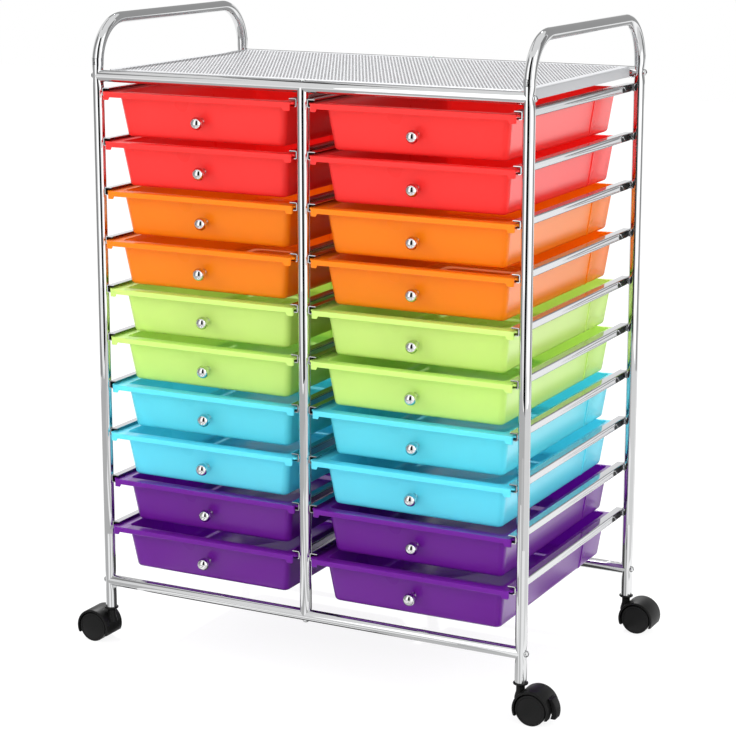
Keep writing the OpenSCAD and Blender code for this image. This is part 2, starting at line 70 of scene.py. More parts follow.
class Side(Enum):
    """The two sides of the tower, as the sign of X."""

    LEFT = -1
    RIGHT = 1

    @property
    def word(self) -> str:
        """The side's name in a piece's name."""
        return self.name.lower()


class End(Enum):
    """The front and the rear of the tower, as the sign of Y."""

    FRONT = -1
    REAR = 1

    @property
    def word(self) -> str:
        """The end's name in a piece's name."""
        return self.name.lower()


# ---------------------------------------------------------------- shader maths


class Signal:
    """A value that changes over a surface; arithmetic on it adds Math nodes."""

    def __init__(self, tree: "ShaderTree", socket: bpy.types.NodeSocket) -> None:
        """Args:
            tree: the tree that the value belongs to.
            socket: the output that carries it.
        """
        self.tree = tree
        self.socket = socket

    def _maths(self, operation: str, first: Any, second: Any) -> "Signal":
        """Adds one Math node.

        Args:
            operation: the node's operation.
            first: its first value or signal.
            second: its second value or signal.

        Returns:
            The result as a signal.
        """
        node = self.tree.add("ShaderNodeMath", {"operation": operation}, {0: first, 1: second})
        return Signal(self.tree, node.outputs[0])

    def __add__(self, other: "Signal | float") -> "Signal":
        """This value plus another."""
        return self._maths("ADD", self, other)

    __radd__ = __add__

    def __sub__(self, other: "Signal | float") -> "Signal":
        """This value minus another."""
        return self._maths("SUBTRACT", self, other)

    def __rsub__(self, other: "Signal | float") -> "Signal":
        """Another value minus this one."""
        return self._maths("SUBTRACT", other, self)

    def __mul__(self, other: "Signal | float") -> "Signal":
        """This value times another."""
        return self._maths("MULTIPLY", self, other)

    __rmul__ = __mul__

    def capped(self, limit: float) -> "Signal":
        """This value, but never more than a limit."""
        return self._maths("MINIMUM", self, limit)


class ShaderTree:
    """The node tree of one material, or of the world, in the making."""

    def __init__(self, owner: bpy.types.Material | bpy.types.World) -> None:
        """Args:
            owner: the material or the world, whose nodes are made anew.
        """
        owner.use_nodes = True
        self.owner = owner
        self.nodes = owner.node_tree.nodes
        self.links = owner.node_tree.links
        self.nodes.clear()
        kind = "World" if isinstance(owner, bpy.types.World) else "Material"
        self.output = self.add(f"ShaderNodeOutput{kind}", {}, {})

    @classmethod
    def named(cls, name: str) -> "ShaderTree":
        """The tree of a new material."""
        return cls(bpy.data.materials.new(name))

    def add(self, kind: str, settings: dict[str, Any], inputs: dict[Any, Any]) -> bpy.types.Node:
        """Adds one node.

        Args:
            kind: the node's type.
            settings: its own settings, which are set first.
            inputs: values, signals or sockets by input name or number.

        Returns:
            The node.
        """
        node = self.nodes.new(kind)
        for key, value in settings.items():
            setattr(node, key, value)
        for key, value in inputs.items():
            if isinstance(value, Signal):
                value = value.socket
            if isinstance(value, bpy.types.NodeSocket):
                self.links.new(value, node.inputs[key])
            else:
                node.inputs[key].default_value = value
        return node

    def noise(self, scale: float, stretch: Place = (1, 1, 1), detail: float = 3.0) -> Signal:
        """Noise over the piece's own coordinates.

        Args:
            scale: waves per metre.
            stretch: how the three axes are scaled against each other.
            detail: octaves of finer noise.

        Returns:
            The noise, from 0 to 1.
        """
        where = self.add("ShaderNodeTexCoord", {}, {})
        stretched = {"Vector": where.outputs["Object"], "Scale": stretch}
        spread = self.add("ShaderNodeMapping", {}, stretched).outputs[0]
        waves = {"Vector": spread, "Scale": scale, "Detail": detail}
        return Signal(self, self.add("ShaderNodeTexNoise", {}, waves).outputs["Fac"])

    def blend(self, factor: Signal, first: Colour, second: Colour) -> bpy.types.NodeSocket:
        """A colour between two others.

        Args:
            factor: 0 for the first, 1 for the second.
            first: a colour.
            second: a colour.

        Returns:
            The socket that carries the blended colour.
        """
        settings = {"data_type": "RGBA", "blend_type": "MIX"}
        colours = {MIX_FIRST: (*first, 1), MIX_SECOND: (*second, 1)}
        node = self.add("ShaderNodeMix", settings, {"Factor": factor, **colours})
        return node.outputs[MIX_RESULT]

    def mix(self, factor: Signal | float, first: bpy.types.Node,
            second: bpy.types.Node) -> bpy.types.Node:
        """A shader between two others.

        Args:
            factor: 0 for the first, 1 for the second.
            first: a shader's node.
            second: a shader's node.

        Returns:
            The node that mixes them.
        """
        ends = {0: factor, 1: first.outputs[0], 2: second.outputs[0]}
        return self.add("ShaderNodeMixShader", {}, ends)

    def bump(self, height: Signal, strength: float, depth: float) -> bpy.types.NodeSocket:
        """A normal that follows a height.

        Args:
            height: the height, about 0 to 1.
            strength: how much of it shows.
            depth: what a height of 1 stands for, in metres.

        Returns:
            The socket that carries the normal.
        """
        inputs = {"Height": height, "Strength": strength, "Distance": depth}
        return self.add("ShaderNodeBump", {}, inputs).outputs[0]

    def seen(self) -> Signal:
        """1 for camera, glossy and transmission rays, 0 for the rays that carry soft light."""
        path = self.add("ShaderNodeLightPath", {}, {}).outputs
        kinds = ("Camera", "Glossy", "Transmission", "Diffuse")
        camera, glossy, through, soft = (Signal(self, path[f"Is {kind} Ray"]) for kind in kinds)
        return (1 - (1 - camera) * (1 - glossy) * (1 - through)) * (1 - soft)

    def finish(self, shader: bpy.types.NodeSocket) -> bpy.types.Material | bpy.types.World:
        """Joins the last shader to the output and returns the tree's owner."""
        self.links.new(shader, self.output.inputs["Surface"])
        return self.owner


def shade(colour: Colour, share: float) -> Colour:
    """The colour made lighter or darker by a share, numbers alone."""
    return tuple(min(1.0, c * share) for c in colour)


# ---------------------------------------------------------------- finishes


@dataclass(frozen=True)
class Metal:
    """Plated or coated steel: a metal whose gloss varies a little, as plating does."""

    name: str
    colour: Colour
    rough: float
    rough_spread: float
    grain: Place = (1, 1, 1)
    grain_scale: float = 90
    ripple: float = 0.0
    ripple_depth: float = 0.1 * MM
    ripple_finer: float = 3.0
    metallic: float = 1.0
    darkest: float = 0.96
    lightest: float = 1.03

    def material(self) -> bpy.types.Material:
        """The finish as a material."""
        tree = ShaderTree.named(self.name)
        cloud = tree.noise(self.grain_scale, self.grain)
        dark, light = shade(self.colour, self.darkest), shade(self.colour, self.lightest)
        base = tree.blend(cloud, dark, light)
        inputs = {
            "Base Color": base,
            "Metallic": self.metallic,
            "Roughness": cloud * self.rough_spread + self.rough,
        }
        if self.ripple:
            wave = tree.noise(self.grain_scale * self.ripple_finer, self.grain, detail=2)
            inputs["Normal"] = tree.bump(wave, self.ripple, self.ripple_depth)
        return tree.finish(tree.add("ShaderNodeBsdfPrincipled", {}, inputs).outputs[0])


@dataclass(frozen=True)
class TrayPlastic:
    """Glossy translucent plastic: light that falls on one side glows through to the other.

    Where it is seen at a slant, a smooth skin over it mirrors the room.
    """

    name: str
    colour: Colour
    glow: Colour
    through: float = 0.5
    rough: float = 0.24
    rough_spread: float = 0.1
    gloss: float = 0.3
    darkest: float = 0.94
    lightest: float = 1.05
    cloud_scale: float = 14
    skin_scale: float = 700
    skin_bump: float = 0.05
    skin_depth: float = 0.2 * MM
    sheen: float = 0.75
    sheen_most: float = 0.16
    sheen_rough: float = 0.2

    def material(self) -> bpy.types.Material:
        """The finish as a material."""
        tree = ShaderTree.named(self.name)
        cloud = tree.noise(self.cloud_scale, detail=2)
        skin = tree.noise(self.skin_scale, detail=2)
        dark, light = shade(self.colour, self.darkest), shade(self.colour, self.lightest)
        base = tree.blend(cloud, dark, light)
        inputs = {
            "Base Color": base,
            "Roughness": cloud * self.rough_spread + self.rough,
            "Specular IOR Level": self.gloss,
            "Normal": tree.bump(skin, self.skin_bump, self.skin_depth),
        }
        solid = tree.add("ShaderNodeBsdfPrincipled", {}, inputs)
        inner = tree.add("ShaderNodeBsdfTranslucent", {}, {"Color": (*self.glow, 1)})
        layer = tree.add("ShaderNodeLayerWeight", {}, {"Blend": 0.5})
        slant = Signal(tree, layer.outputs["Facing"])
        skim = (slant * slant * slant * self.sheen).capped(self.sheen_most)
        mirror = {"Color": WHITE, "Roughness": self.sheen_rough}
        glossy = tree.add("ShaderNodeBsdfAnisotropic", {}, mirror)
        whole = tree.mix(skim, tree.mix(self.through, solid, inner), glossy)
        return tree.finish(whole.outputs[0])


@dataclass(frozen=True)
class DarkPlastic:
    """Black moulded plastic with a fine grain."""

    name: str
    colour: Colour
    rough: float
    grain: float
    gloss: float = 0.17
    rough_spread: float = 0.12
    darkest: float = 0.85
    lightest: float = 1.2
    cloud_scale: float = 60
    grain_scale: float = 1800
    grain_depth: float = 0.1 * MM

    def material(self) -> bpy.types.Material:
        """The finish as a material."""
        tree = ShaderTree.named(self.name)
        cloud = tree.noise(self.cloud_scale, detail=2)
        skin = tree.noise(self.grain_scale, detail=2)
        dark, light = shade(self.colour, self.darkest), shade(self.colour, self.lightest)
        base = tree.blend(cloud, dark, light)
        inputs = {
            "Base Color": base,
            "Roughness": cloud * self.rough_spread + self.rough,
            "Specular IOR Level": self.gloss,
            "Normal": tree.bump(skin, self.grain, self.grain_depth),
        }
        return tree.finish(tree.add("ShaderNodeBsdfPrincipled", {}, inputs).outputs[0])


class Paint:
    """Every finish on the tower, made once, by the record's slot name.

    The shelf's holes have a finish more, which is no slot of its own: painted shade, a dark finish
    on their cut walls that stands in for the shade inside them.
    """

    def __init__(self) -> None:
        """Makes the materials."""
        finishes = [
            Metal("chrome_tube", (0.655, 0.66, 0.665), 0.006, 0.016, grain_scale=40),
            Metal("runner_steel", (0.58, 0.585, 0.60), 0.09, 0.06, grain=(1, 0.05, 1),
                  grain_scale=300, ripple=0.12),
            Metal("fastener_steel", (0.60, 0.605, 0.61), 0.10, 0.08, grain_scale=200),
            Metal("knob_chrome", (0.72, 0.72, 0.725), 0.01, 0.02, grain_scale=60),
            Metal("shelf_steel", (0.46, 0.465, 0.48), 0.36, 0.10, grain_scale=120, ripple=0.1,
                  metallic=0.45),
            TrayPlastic("tray_red", (1.0, 0.058, 0.054), (1.0, 0.10, 0.09)),
            TrayPlastic("tray_orange", (1.0, 0.33, 0.008), (1.0, 0.38, 0.02)),
            TrayPlastic("tray_green", (0.73, 0.93, 0.30), (0.80, 0.98, 0.38)),
            TrayPlastic("tray_blue", (0.18, 0.83, 0.96), (0.28, 0.90, 1.0)),
            TrayPlastic("tray_purple", (0.22, 0.016, 0.39), (0.36, 0.04, 0.60)),
            DarkPlastic("caster_plastic", (0.0045, 0.0045, 0.0045), 0.40, 0.25),
            DarkPlastic("wheel_plastic", (0.005, 0.005, 0.005), 0.36, 0.12),
            DarkPlastic("socket_plastic", (0.005, 0.005, 0.005), 0.35, 0.1),
            # painted shade: the dark finish of the shelf holes' cut walls stands in for the shade
            # inside the holes
            Metal("shelf_cut_edge", (0.10, 0.10, 0.105), 0.5, 0.1, grain_scale=200,
                  metallic=0.3),
        ]
        self.materials = {f.name: f.material() for f in finishes}

    def dress(self, piece: bpy.types.Object, slot: str) -> None:
        """Gives a piece the finish of a slot, in place of its own materials."""
        piece.data.materials.clear()
        piece.data.materials.append(self.materials[slot])


# ---------------------------------------------------------------- mesh making


class Forge:
    """One mesh in the making: points in rings, and faces between them."""

    def __init__(self) -> None:
        """Starts with no points and no faces."""
        self.points: list[Place] = []
        self.faces: list[tuple[int, ...]] = []

    def ring(self, places: Iterable[Place]) -> list[int]:
        """Adds points and returns their numbers."""
        first = len(self.points)
        self.points.extend(tuple(p) for p in places)
        return list(range(first, len(self.points)))

    def strip(self, one: Sequence[int], other: Sequence[int], closed: bool = True) -> None:
        """Joins two rings of as many points by four-sided faces.

        Args:
            one: the first ring.
            other: the next ring.
            closed: whether each ring's end joins its start.
        """
        count = len(one)
        for i in range(count if closed else count - 1):
            j = (i + 1) % count
            self.faces.append((one[i], one[j], other[j], other[i]))

    def sleeve(self, rings: Sequence[Iterable[Place]]) -> list[list[int]]:
        """Joins closed rings in order, with both ends open.

        Args:
            rings: the rings' points.

        Returns:
            The numbers of each ring's points.
        """
        made = [self.ring(r) for r in rings]
        for one, other in zip(made, made[1:]):
            self.strip(one, other)
        return made

    def loft(self, rings: Sequence[Iterable[Place]]) -> None:
        """Joins closed rings in order, and closes the first and the last with a face."""
        made = self.sleeve(rings)
        self.faces += [tuple(reversed(made[0])), tuple(made[-1])]

    def loop(self, rings: Sequence[Iterable[Place]]) -> None:
        """Joins closed rings in order, and the last to the first."""
        made = self.sleeve(rings)
        self.strip(made[-1], made[0])

    def mesh(self, name: str, sharp_deg: float = 40) -> bpy.types.Mesh:
        """The mesh, with normals outwards and smooth faces except at sharp edges.

        Args:
            name: the mesh's name.
            sharp_deg: edges that turn by more than this stay sharp.

        Returns:
            The mesh.
        """
        mesh = bpy.data.meshes.new(name)
        mesh.from_pydata(self.points, [], self.faces)
        work = bmesh.new()
        work.from_mesh(mesh)
        bmesh.ops.remove_doubles(work, verts=work.verts, dist=SAME_PLACE)
        bmesh.ops.recalc_face_normals(work, faces=work.faces)
        work.to_mesh(mesh)
        work.free()
        smooth(mesh, sharp_deg)
        return mesh


def smooth(mesh: bpy.types.Mesh, sharp_deg: float) -> None:
    """Shades a mesh smooth, with edges sharp where it turns by more than an angle."""
    mesh.shade_smooth()
    mesh.set_sharp_from_angle(angle=math.radians(sharp_deg))


def arc(centre: Flat, radius: float, start_deg: float, end_deg: float, steps: int) -> list[Flat]:
    """Points along an arc, both ends included.

    Args:
        centre: the arc's middle.
        radius: its radius.
        start_deg: the angle of the first point.
        end_deg: the angle of the last point.
        steps: how many pieces it is cut in.

    Returns:
        The points.
    """
    spread = [math.radians(start_deg + (end_deg - start_deg) * i / steps) for i in range(steps + 1)]
    return [(centre[0] + radius * math.cos(a), centre[1] + radius * math.sin(a)) for a in spread]


def turned(profile: Sequence[Flat], segments: int,
           sides: dict[int, int] | None = None) -> list[list[Place]]:
    """Rings of a turned shape about Z.

    Args:
        profile: (radius, height) points.
        segments: points in each ring.
        sides: by profile point, how many flat sides its ring has, where it isn't round.

    Returns:
        The rings' points.
    """
    rings = []
    for index, (radius, height) in enumerate(profile):
        ring = []
        for i in range(segments):
            angle = 2 * math.pi * i / segments
            reach = radius
            if sides and index in sides:
                half = math.pi / sides[index]
                reach = radius * math.cos(half) / math.cos((angle % (2 * half)) - half)
            ring.append((reach * math.cos(angle), reach * math.sin(angle), height))
        rings.append(ring)
    return rings


def placed(rings: Sequence[Iterable[Place]], matrix: Matrix) -> list[list[Place]]:
    """The rings with every point moved by a matrix."""
    return [[tuple(matrix @ Vector(p)) for p in ring] for ring in rings]


def in_scene(name: str, data: bpy.types.ID) -> bpy.types.Object:
    """Makes an object of a mesh, a lamp or a camera, and puts it in the scene."""
    made = bpy.data.objects.new(name, data)
    bpy.context.scene.collection.objects.link(made)
    return made


def piece_of(mesh: bpy.types.Mesh, name: str, body: str,
             nodes: Sequence[str] = ()) -> bpy.types.Object:
    """Makes a mesh a piece of the tower.

    Args:
        mesh: the mesh, in the model's frame or in the piece's own.
        name: the piece's name.
        body: the body that it rides on.
        nodes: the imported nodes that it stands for.

    Returns:
        The piece.
    """
    piece = in_scene(name, mesh)
    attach(piece, body)
    if nodes:
        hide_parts(*nodes)
    return piece


def cut_out(piece: bpy.types.Object, cutter: bpy.types.Object, sharp_deg: float) -> None:
    """Cuts one object's shape out of a piece, and removes the cutter.

    Args:
        piece: the piece, not yet shared with others.
        cutter: the shape to take away.
        sharp_deg: the angle from which edges stay sharp.
    """
    modifier = piece.modifiers.new("cut", "BOOLEAN")
    modifier.operation = "DIFFERENCE"
    modifier.solver = "EXACT"
    modifier.object = cutter
    bpy.context.view_layer.update()
    shaped = piece.evaluated_get(bpy.context.evaluated_depsgraph_get())
    mesh = bpy.data.meshes.new_from_object(shaped)
    piece.modifiers.clear()
    piece.data = mesh
    bpy.data.objects.remove(cutter)
    smooth(mesh, sharp_deg)


# ---------------------------------------------------------------- the frame's lines


@dataclass(frozen=True)
class Lines:
    """The main lines of the tower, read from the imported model."""

    post_x: float
    post_y: float
    tube_r: float
    post_low: float
    handle_top: float
    low_rail: float
    high_rail: float

    @classmethod
    def read(cls) -> "Lines":
        """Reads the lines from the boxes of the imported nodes."""
        low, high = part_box("side_frame_right")
        rails_low, rails_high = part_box("cross_rails")
        radius = (high.x - low.x) / 2
        return cls(
            post_x=(low.x + high.x) / 2,
            post_y=high.y - radius,
            tube_r=radius,
            post_low=low.z,
            handle_top=high.z,
            low_rail=rails_low.z + radius,
            high_rail=rails_high.z - radius,
        )


LINES = Lines.read()


# ---------------------------------------------------------------- chromed tubes


@dataclass
class TubeFrame:
    """The two bent side tubes, the four rails and the two middle posts."""

    paint: Paint
    bend_r: float = 60 * MM
    wall: float = 1.2 * MM
    dent_out: float = 1.6 * MM
    dent_in: float = 2.4 * MM
    dent_reach: float = 9 * MM
    segments: int = 64
    dent_step: float = 1.5 * MM
    dent_steps: int = 16
    leg_steps: int = 24
    least_step: float = 0.4 * MM
    bend_steps: int = 24
    overlap: float = 0.1 * MM
    bolt_heights: tuple[float, ...] = (LINES.low_rail, LINES.high_rail)

    def dent(self, across: float, away: float) -> float:
        """How far the leg's wall is pressed in.

        Args:
            across: cosine of the angle from the outward direction, -1 on the rail's side.
            away: height above the bolt.

        Returns:
            The depth, in metres.
        """
        depth = self.dent_out if across > 0 else self.dent_in
        return depth * abs(across) ** 3 * math.exp(-((away / self.dent_reach) ** 2))

    def leg_heights(self) -> list[float]:
        """Heights of a leg's rings, close together round the bolts."""
        heights = {LINES.post_low, LINES.handle_top - LINES.tube_r - self.bend_r}
        for bolt in self.bolt_heights:
            steps = range(-self.dent_steps, self.dent_steps + 1)
            heights.update(bolt + step * self.dent_step for step in steps)
        low, high = min(heights), max(heights)
        heights.update(low + (high - low) * i / self.leg_steps for i in range(self.leg_steps + 1))
        kept: list[float] = []
        for height in sorted(h for h in heights if LINES.post_low <= h <= high):
            if not kept or height - kept[-1] > self.least_step:
                kept.append(height)
        return kept

    def side_ring(self, side: Side, y: float, z: float, slope: float) -> list[Place]:
        """One ring of a side tube.

        Args:
            side: the left or the right tube.
            y: the ring's middle.
            z: the ring's middle.
            slope: the angle from the +Y direction to the tube's way, in radians.

        Returns:
            The ring's points.
        """
        ring = []
        for i in range(self.segments):
            angle = 2 * math.pi * i / self.segments
            radius = LINES.tube_r
            if abs(math.cos(slope)) < SAME_PLACE:
                bolt = min(self.bolt_heights, key=lambda b: abs(z - b))
                radius -= self.dent(math.cos(angle), z - bolt)
            out = radius * math.sin(angle)
            x = side.value * (LINES.post_x + radius * math.cos(angle))
            ring.append((x, y - out * math.sin(slope), z + out * math.cos(slope)))
        return ring

    def side_tube(self, side: Side) -> bpy.types.Object:
        """One side: a leg, the handle and the other leg, in one bent tube."""
        forge = Forge()
        top = LINES.handle_top - LINES.tube_r
        half = LINES.post_y - self.bend_r
        legs = self.leg_heights()
        rings = [self.side_ring(side, -LINES.post_y, z, math.pi / 2) for z in legs]
        for y, first in ((-half, 180), (half, 90)):
            curve = arc((y, top - self.bend_r), self.bend_r, first, first - 90, self.bend_steps)
            for i, place in enumerate(curve):
                slope = math.radians(first - 90 - 90 * i / self.bend_steps)
                rings.append(self.side_ring(side, place[0], place[1], slope))
        rings += [self.side_ring(side, LINES.post_y, z, -math.pi / 2) for z in reversed(legs)]
        forge.loft(rings)
        name = f"side_tube_{side.word}"
        piece = piece_of(forge.mesh(name), name, "frame", [f"side_frame_{side.word}"])
        self.paint.dress(piece, "chrome_tube")
        return piece

    def reach(self, aside: float, away: float, dented: bool) -> float:
        """Distance from a post's axis to its surface, where a tube's end meets it.

        Args:
            aside: how far to the side of the axis.
            away: height above the bolt.
            dented: whether the post is pressed in there.

        Returns:
            The distance, a little inside the surface.
        """
        across = math.sqrt(max(0.0, 1 - (aside / LINES.tube_r) ** 2))
        inset = self.dent(-across, away) if dented else 0.0
        return LINES.tube_r * across - inset - self.overlap

    def rail(self, end: End, height: float, word: str) -> bpy.types.Object:
        """One rail between the side tubes, its ends shaped to the posts.

        Args:
            end: front or rear.
            height: height of the rail's axis.
            word: the rail's place in its name.

        Returns:
            The rail.
        """
        forge = Forge()
        rings = []
        for share in (-1, -0.97, -0.5, -0.02, 0.02, 0.5, 0.97, 1):
            ring = []
            for i in range(self.segments):
                angle = 2 * math.pi * i / self.segments
                y, z = LINES.tube_r * math.cos(angle), LINES.tube_r * math.sin(angle)
                x = share * (LINES.post_x - 2 * LINES.tube_r)
                if abs(share) == 1:
                    x = share * (LINES.post_x - self.reach(y, z, True))
                ring.append((x, end.value * LINES.post_y + y, height + z))
            rings.append(ring)
        forge.loft(rings)
        name = f"rail_{word}_{end.word}"
        piece = piece_of(forge.mesh(name), name, "frame", ["cross_rails"])
        self.paint.dress(piece, "chrome_tube")
        return piece

    def middle_post(self, end: End) -> bpy.types.Object:
        """One middle post, its ends shaped to the rails."""
        forge = Forge()
        rings = []
        for share in (0, 0.02, 0.5, 0.98, 1):
            ring = []
            for i in range(self.segments):
                angle = 2 * math.pi * i / self.segments
                x, y = LINES.tube_r * math.cos(angle), LINES.tube_r * math.sin(angle)
                low, high = LINES.low_rail + 2 * LINES.tube_r, LINES.high_rail - 2 * LINES.tube_r
                z = low + share * (high - low)
                if share == 0:
                    z = LINES.low_rail + self.reach(y, 0, False)
                elif share == 1:
                    z = LINES.high_rail - self.reach(y, 0, False)
                ring.append((x, end.value * LINES.post_y + y, z))
            rings.append(ring)
        forge.loft(rings)
        name = f"middle_post_{end.word}"
        piece = piece_of(forge.mesh(name), name, "frame", ["middle_posts"])
        self.paint.dress(piece, "chrome_tube")
        return piece

    def build(self) -> list[bpy.types.Object]:
        """Builds every tube."""
        pieces = [self.side_tube(side) for side in Side]
        for end in End:
            pieces.append(self.rail(end, LINES.low_rail, "low"))
            pieces.append(self.rail(end, LINES.high_rail, "high"))
            pieces.append(self.middle_post(end))
        return pieces


# ---------------------------------------------------------------- bolts


@dataclass
class Bolts:
    """The domed bolt heads outside the legs and the screw heads at the middle posts."""

    paint: Paint
    head_r: float = 4.4 * MM
    head_h: float = 4.4 * MM
    sink: float = 1.6 * MM
    socket_r: float = 1.7 * MM
    socket_depth: float = 1.6 * MM
    flat_r: float = 4 * MM
    flat_h: float = 0.8 * MM
    skirt: float = 1.2 * MM
    dome_deg: float = 68
    segments: int = 48

    def dome(self) -> list[Flat]:
        """The head's section: a skirt, and a dome up to the rim of its socket."""
        curve = arc((0, 0), 1.0, 0, self.dome_deg, 8)
        rise = self.head_h - self.skirt
        return [(self.head_r, 0), *((self.head_r * x, self.skirt + rise * z) for x, z in curve)]

    def bolt_head(self, matrix: Matrix) -> list[list[Place]]:
        """A domed head with a hexagon socket, moved by a matrix.

        Args:
            matrix: puts the head's foot and its +Z on the tube.

        Returns:
            The head's rings.
        """
        dome = self.dome()
        top = dome[-1][1]
        floor = top - self.socket_depth
        profile = [*dome, (self.socket_r, top), (self.socket_r, floor), (TIP, floor)]
        flats = {len(dome): 6, len(dome) + 1: 6}
        return placed(turned(profile, self.segments, flats), matrix)

    def build(self) -> list[bpy.types.Object]:
        """Builds all heads as one piece, as the record has them."""
        forge = Forge()
        for side in Side:
            for end in End:
                for height in (LINES.low_rail, LINES.high_rail):
                    foot = side.value * (LINES.post_x + LINES.tube_r - self.sink)
                    turn = Matrix.Rotation(side.value * math.pi / 2, 4, "Y")
                    matrix = Matrix.Translation((foot, end.value * LINES.post_y, height)) @ turn
                    forge.loft(self.bolt_head(matrix))
        for end in End:
            y = end.value * LINES.post_y
            low = Matrix.Translation((0, y, LINES.low_rail - LINES.tube_r + self.sink))
            forge.loft(self.bolt_head(low @ Matrix.Rotation(math.pi, 4, "X")))
            high = Matrix.Translation((0, y, LINES.high_rail + LINES.tube_r - self.flat_h))
            disc = [(self.flat_r, 0), (self.flat_r, 1.4 * self.flat_h),
                    (self.flat_r * 0.85, 1.8 * self.flat_h), (TIP, 1.85 * self.flat_h)]
            forge.loft(placed(turned(disc, self.segments), high))
        piece = piece_of(forge.mesh("bolt_heads"), "bolt_heads", "frame", ["frame_screws"])
        self.paint.dress(piece, "fastener_steel")
        return [piece]


# ---------------------------------------------------------------- runners


@dataclass
class Runners:
    """The twenty outer and twenty inner channels that carry the trays."""

    paint: Paint
    size: float = 11 * MM
    sheet: float = 1.0 * MM
    corner: float = 2.0 * MM
    over: float = 3 * MM
    window_l: float = 36 * MM
    window_end: float = 10 * MM
    window_h: float = 9.4 * MM
    bead_from: float = -60 * MM
    bead_to: float = 146 * MM
    bead_depth: float = 0.9 * MM
    bead_slope: float = 1.2 * MM
    bead_half: float = 3.4 * MM
    bead_thin: float = 0.9 * MM
    end_step: float = 0.4 * MM
    end_plate: tuple[float, float] = (1.6 * MM, 0.6 * MM)
    end_plate_in: float = 0.5 * MM
    weld_w: float = 6 * MM
    weld_sink: float = 0.2 * MM
    weld_out: float = 0.9 * MM
    insert: float = 0.9 * MM
    slack: float = 0.25 * MM
    ease: float = 0.12 * MM
    liner_l: float = 14 * MM
    liner_low: float = 0.15 * MM
    liner_back: float = 0.3 * MM
    stop_face: float = 0.45 * MM
    stop_clear: float = 0.05 * MM
    stop_over: float = 1 * MM
    spring_w: float = 1.5 * MM
    spring_t: float = 0.4 * MM
    spring_in: float = 0.15 * MM
    spring_from: float = 3 * MM
    spring_line: tuple[Flat, ...] = ((0.0, 0.7), (5 * MM, 0.5), (10 * MM, -0.55), (14 * MM, -0.75))

    def section(self) -> list[Flat]:
        """The channel's outline in (depth, height): its web is at 0 and it opens to +."""
        half, flat = self.size / 2, self.size / 2 - self.corner
        outer = [(self.size, half), *arc((self.corner, flat), self.corner, 90, 180, 5)]
        web = [(0.0, self.bead_half * (1 - i / 8)) for i in range(17)]
        outer += web + [*arc((self.corner, -flat), self.corner, 180, 270, 5), (self.size, -half)]
        inner_r = self.corner - self.sheet
        inner = [(self.size, -half + self.sheet), *arc((self.corner, -flat), inner_r, 270, 180, 4)]
        inner += [(self.sheet, z) for _, z in reversed(web)]
        inner += [*arc((self.corner, flat), inner_r, 180, 90, 4), (self.size, half - self.sheet)]
        return outer + inner

    def bead(self, y: float, z: float) -> float:
        """How far the web is pressed out by its long bead, which widens to a round rear end."""
        if not self.bead_from < y < self.bead_to:
            return 0.0
        share = (y - self.bead_from) / (self.bead_to - self.bead_from)
        half = self.bead_thin + (self.bead_half - self.bead_thin) * share
        past = max(0.0, y - (self.bead_to - self.bead_half)) / self.bead_half
        half *= math.sqrt(1 - past**2)
        if abs(z) >= half:
            return 0.0
        return self.bead_depth * share**0.4 * min(1.0, (half - abs(z)) / self.bead_slope)

    def channel(self, side: int, beaded: bool) -> bpy.types.Mesh:
        """One channel about its own middle.

        Args:
            side: the sign of X that it opens to.
            beaded: whether it has the bead and the window of the outer runners.

        Returns:
            The mesh.
        """
        run = LINES.post_y + self.over
        stations = [-run, -run + self.end_step]
        if beaded:
            straight = self.bead_to - self.bead_half
            stations += [self.bead_from + (straight - self.bead_from) * i / 50 for i in range(50)]
            stations += [straight + self.bead_half * math.sin(math.pi * i / 24) for i in range(13)]
        stations += [run - self.end_step, run]
        rings = []
        for y in stations:
            ring = []
            for depth, z in self.section():
                if beaded and depth <= self.sheet + TINY:
                    depth -= self.bead(y, z)
                ring.append((side * depth, y, z))
            rings.append(ring)
        forge = Forge()
        made = forge.sleeve(rings)
        half = len(made[0]) // 2
        for ring in (made[0], made[-1]):
            self.close_end(forge, ring[:half], list(reversed(ring[half:])))
        self.stop(forge, side, run)
        return forge.mesh("runner_channel")

    def close_end(self, forge: Forge, outer: list[int], inner: list[int]) -> None:
        """Closes a channel's cut end between its outer and inner outline."""
        count = min(len(outer), len(inner))
        for i in range(count - 1):
            forge.faces.append((outer[i], outer[i + 1], inner[i + 1], inner[i]))
        for i in range(count - 1, len(outer) - 1):
            forge.faces.append((outer[i], outer[i + 1], inner[-1]))

    def stop(self, forge: Forge, side: int, run: float) -> None:
        """Adds the small plate that closes the channel's rear end."""
        half = self.size / 2 - self.sheet
        near, far = side * self.end_plate_in, side * self.size
        ring = [(near, -half), (far, -half), (far, half), (near, half)]
        forge.loft([[(x, run - back, z) for x, z in ring] for back in self.end_plate])

    def window_line(self, inset: float) -> list[Flat]:
        """The window's outline in (y, height), with round ends, drawn in by an inset."""
        radius = self.window_h / 2
        rear = LINES.post_y + self.over - self.window_end - radius
        front = rear - self.window_l + self.window_h
        line = arc((rear, 0), radius - inset, -90, 90, 10)
        return line + arc((front, 0), radius - inset, 90, 270, 10)

    def window(self, mesh: bpy.types.Mesh) -> bpy.types.Mesh:
        """Cuts the window with round ends through a channel's web, near the rear post."""
        body = in_scene("channel_blank", mesh)
        outline = self.window_line(0)
        forge = Forge()
        forge.loft([[(x, y, z) for y, z in outline] for x in (-1.5 * self.sheet, 1.5 * self.sheet)])
        cut_out(body, in_scene("window_cutter", forge.mesh("window_cutter")), 40)
        cut = body.data
        bpy.data.objects.remove(body)
        return cut

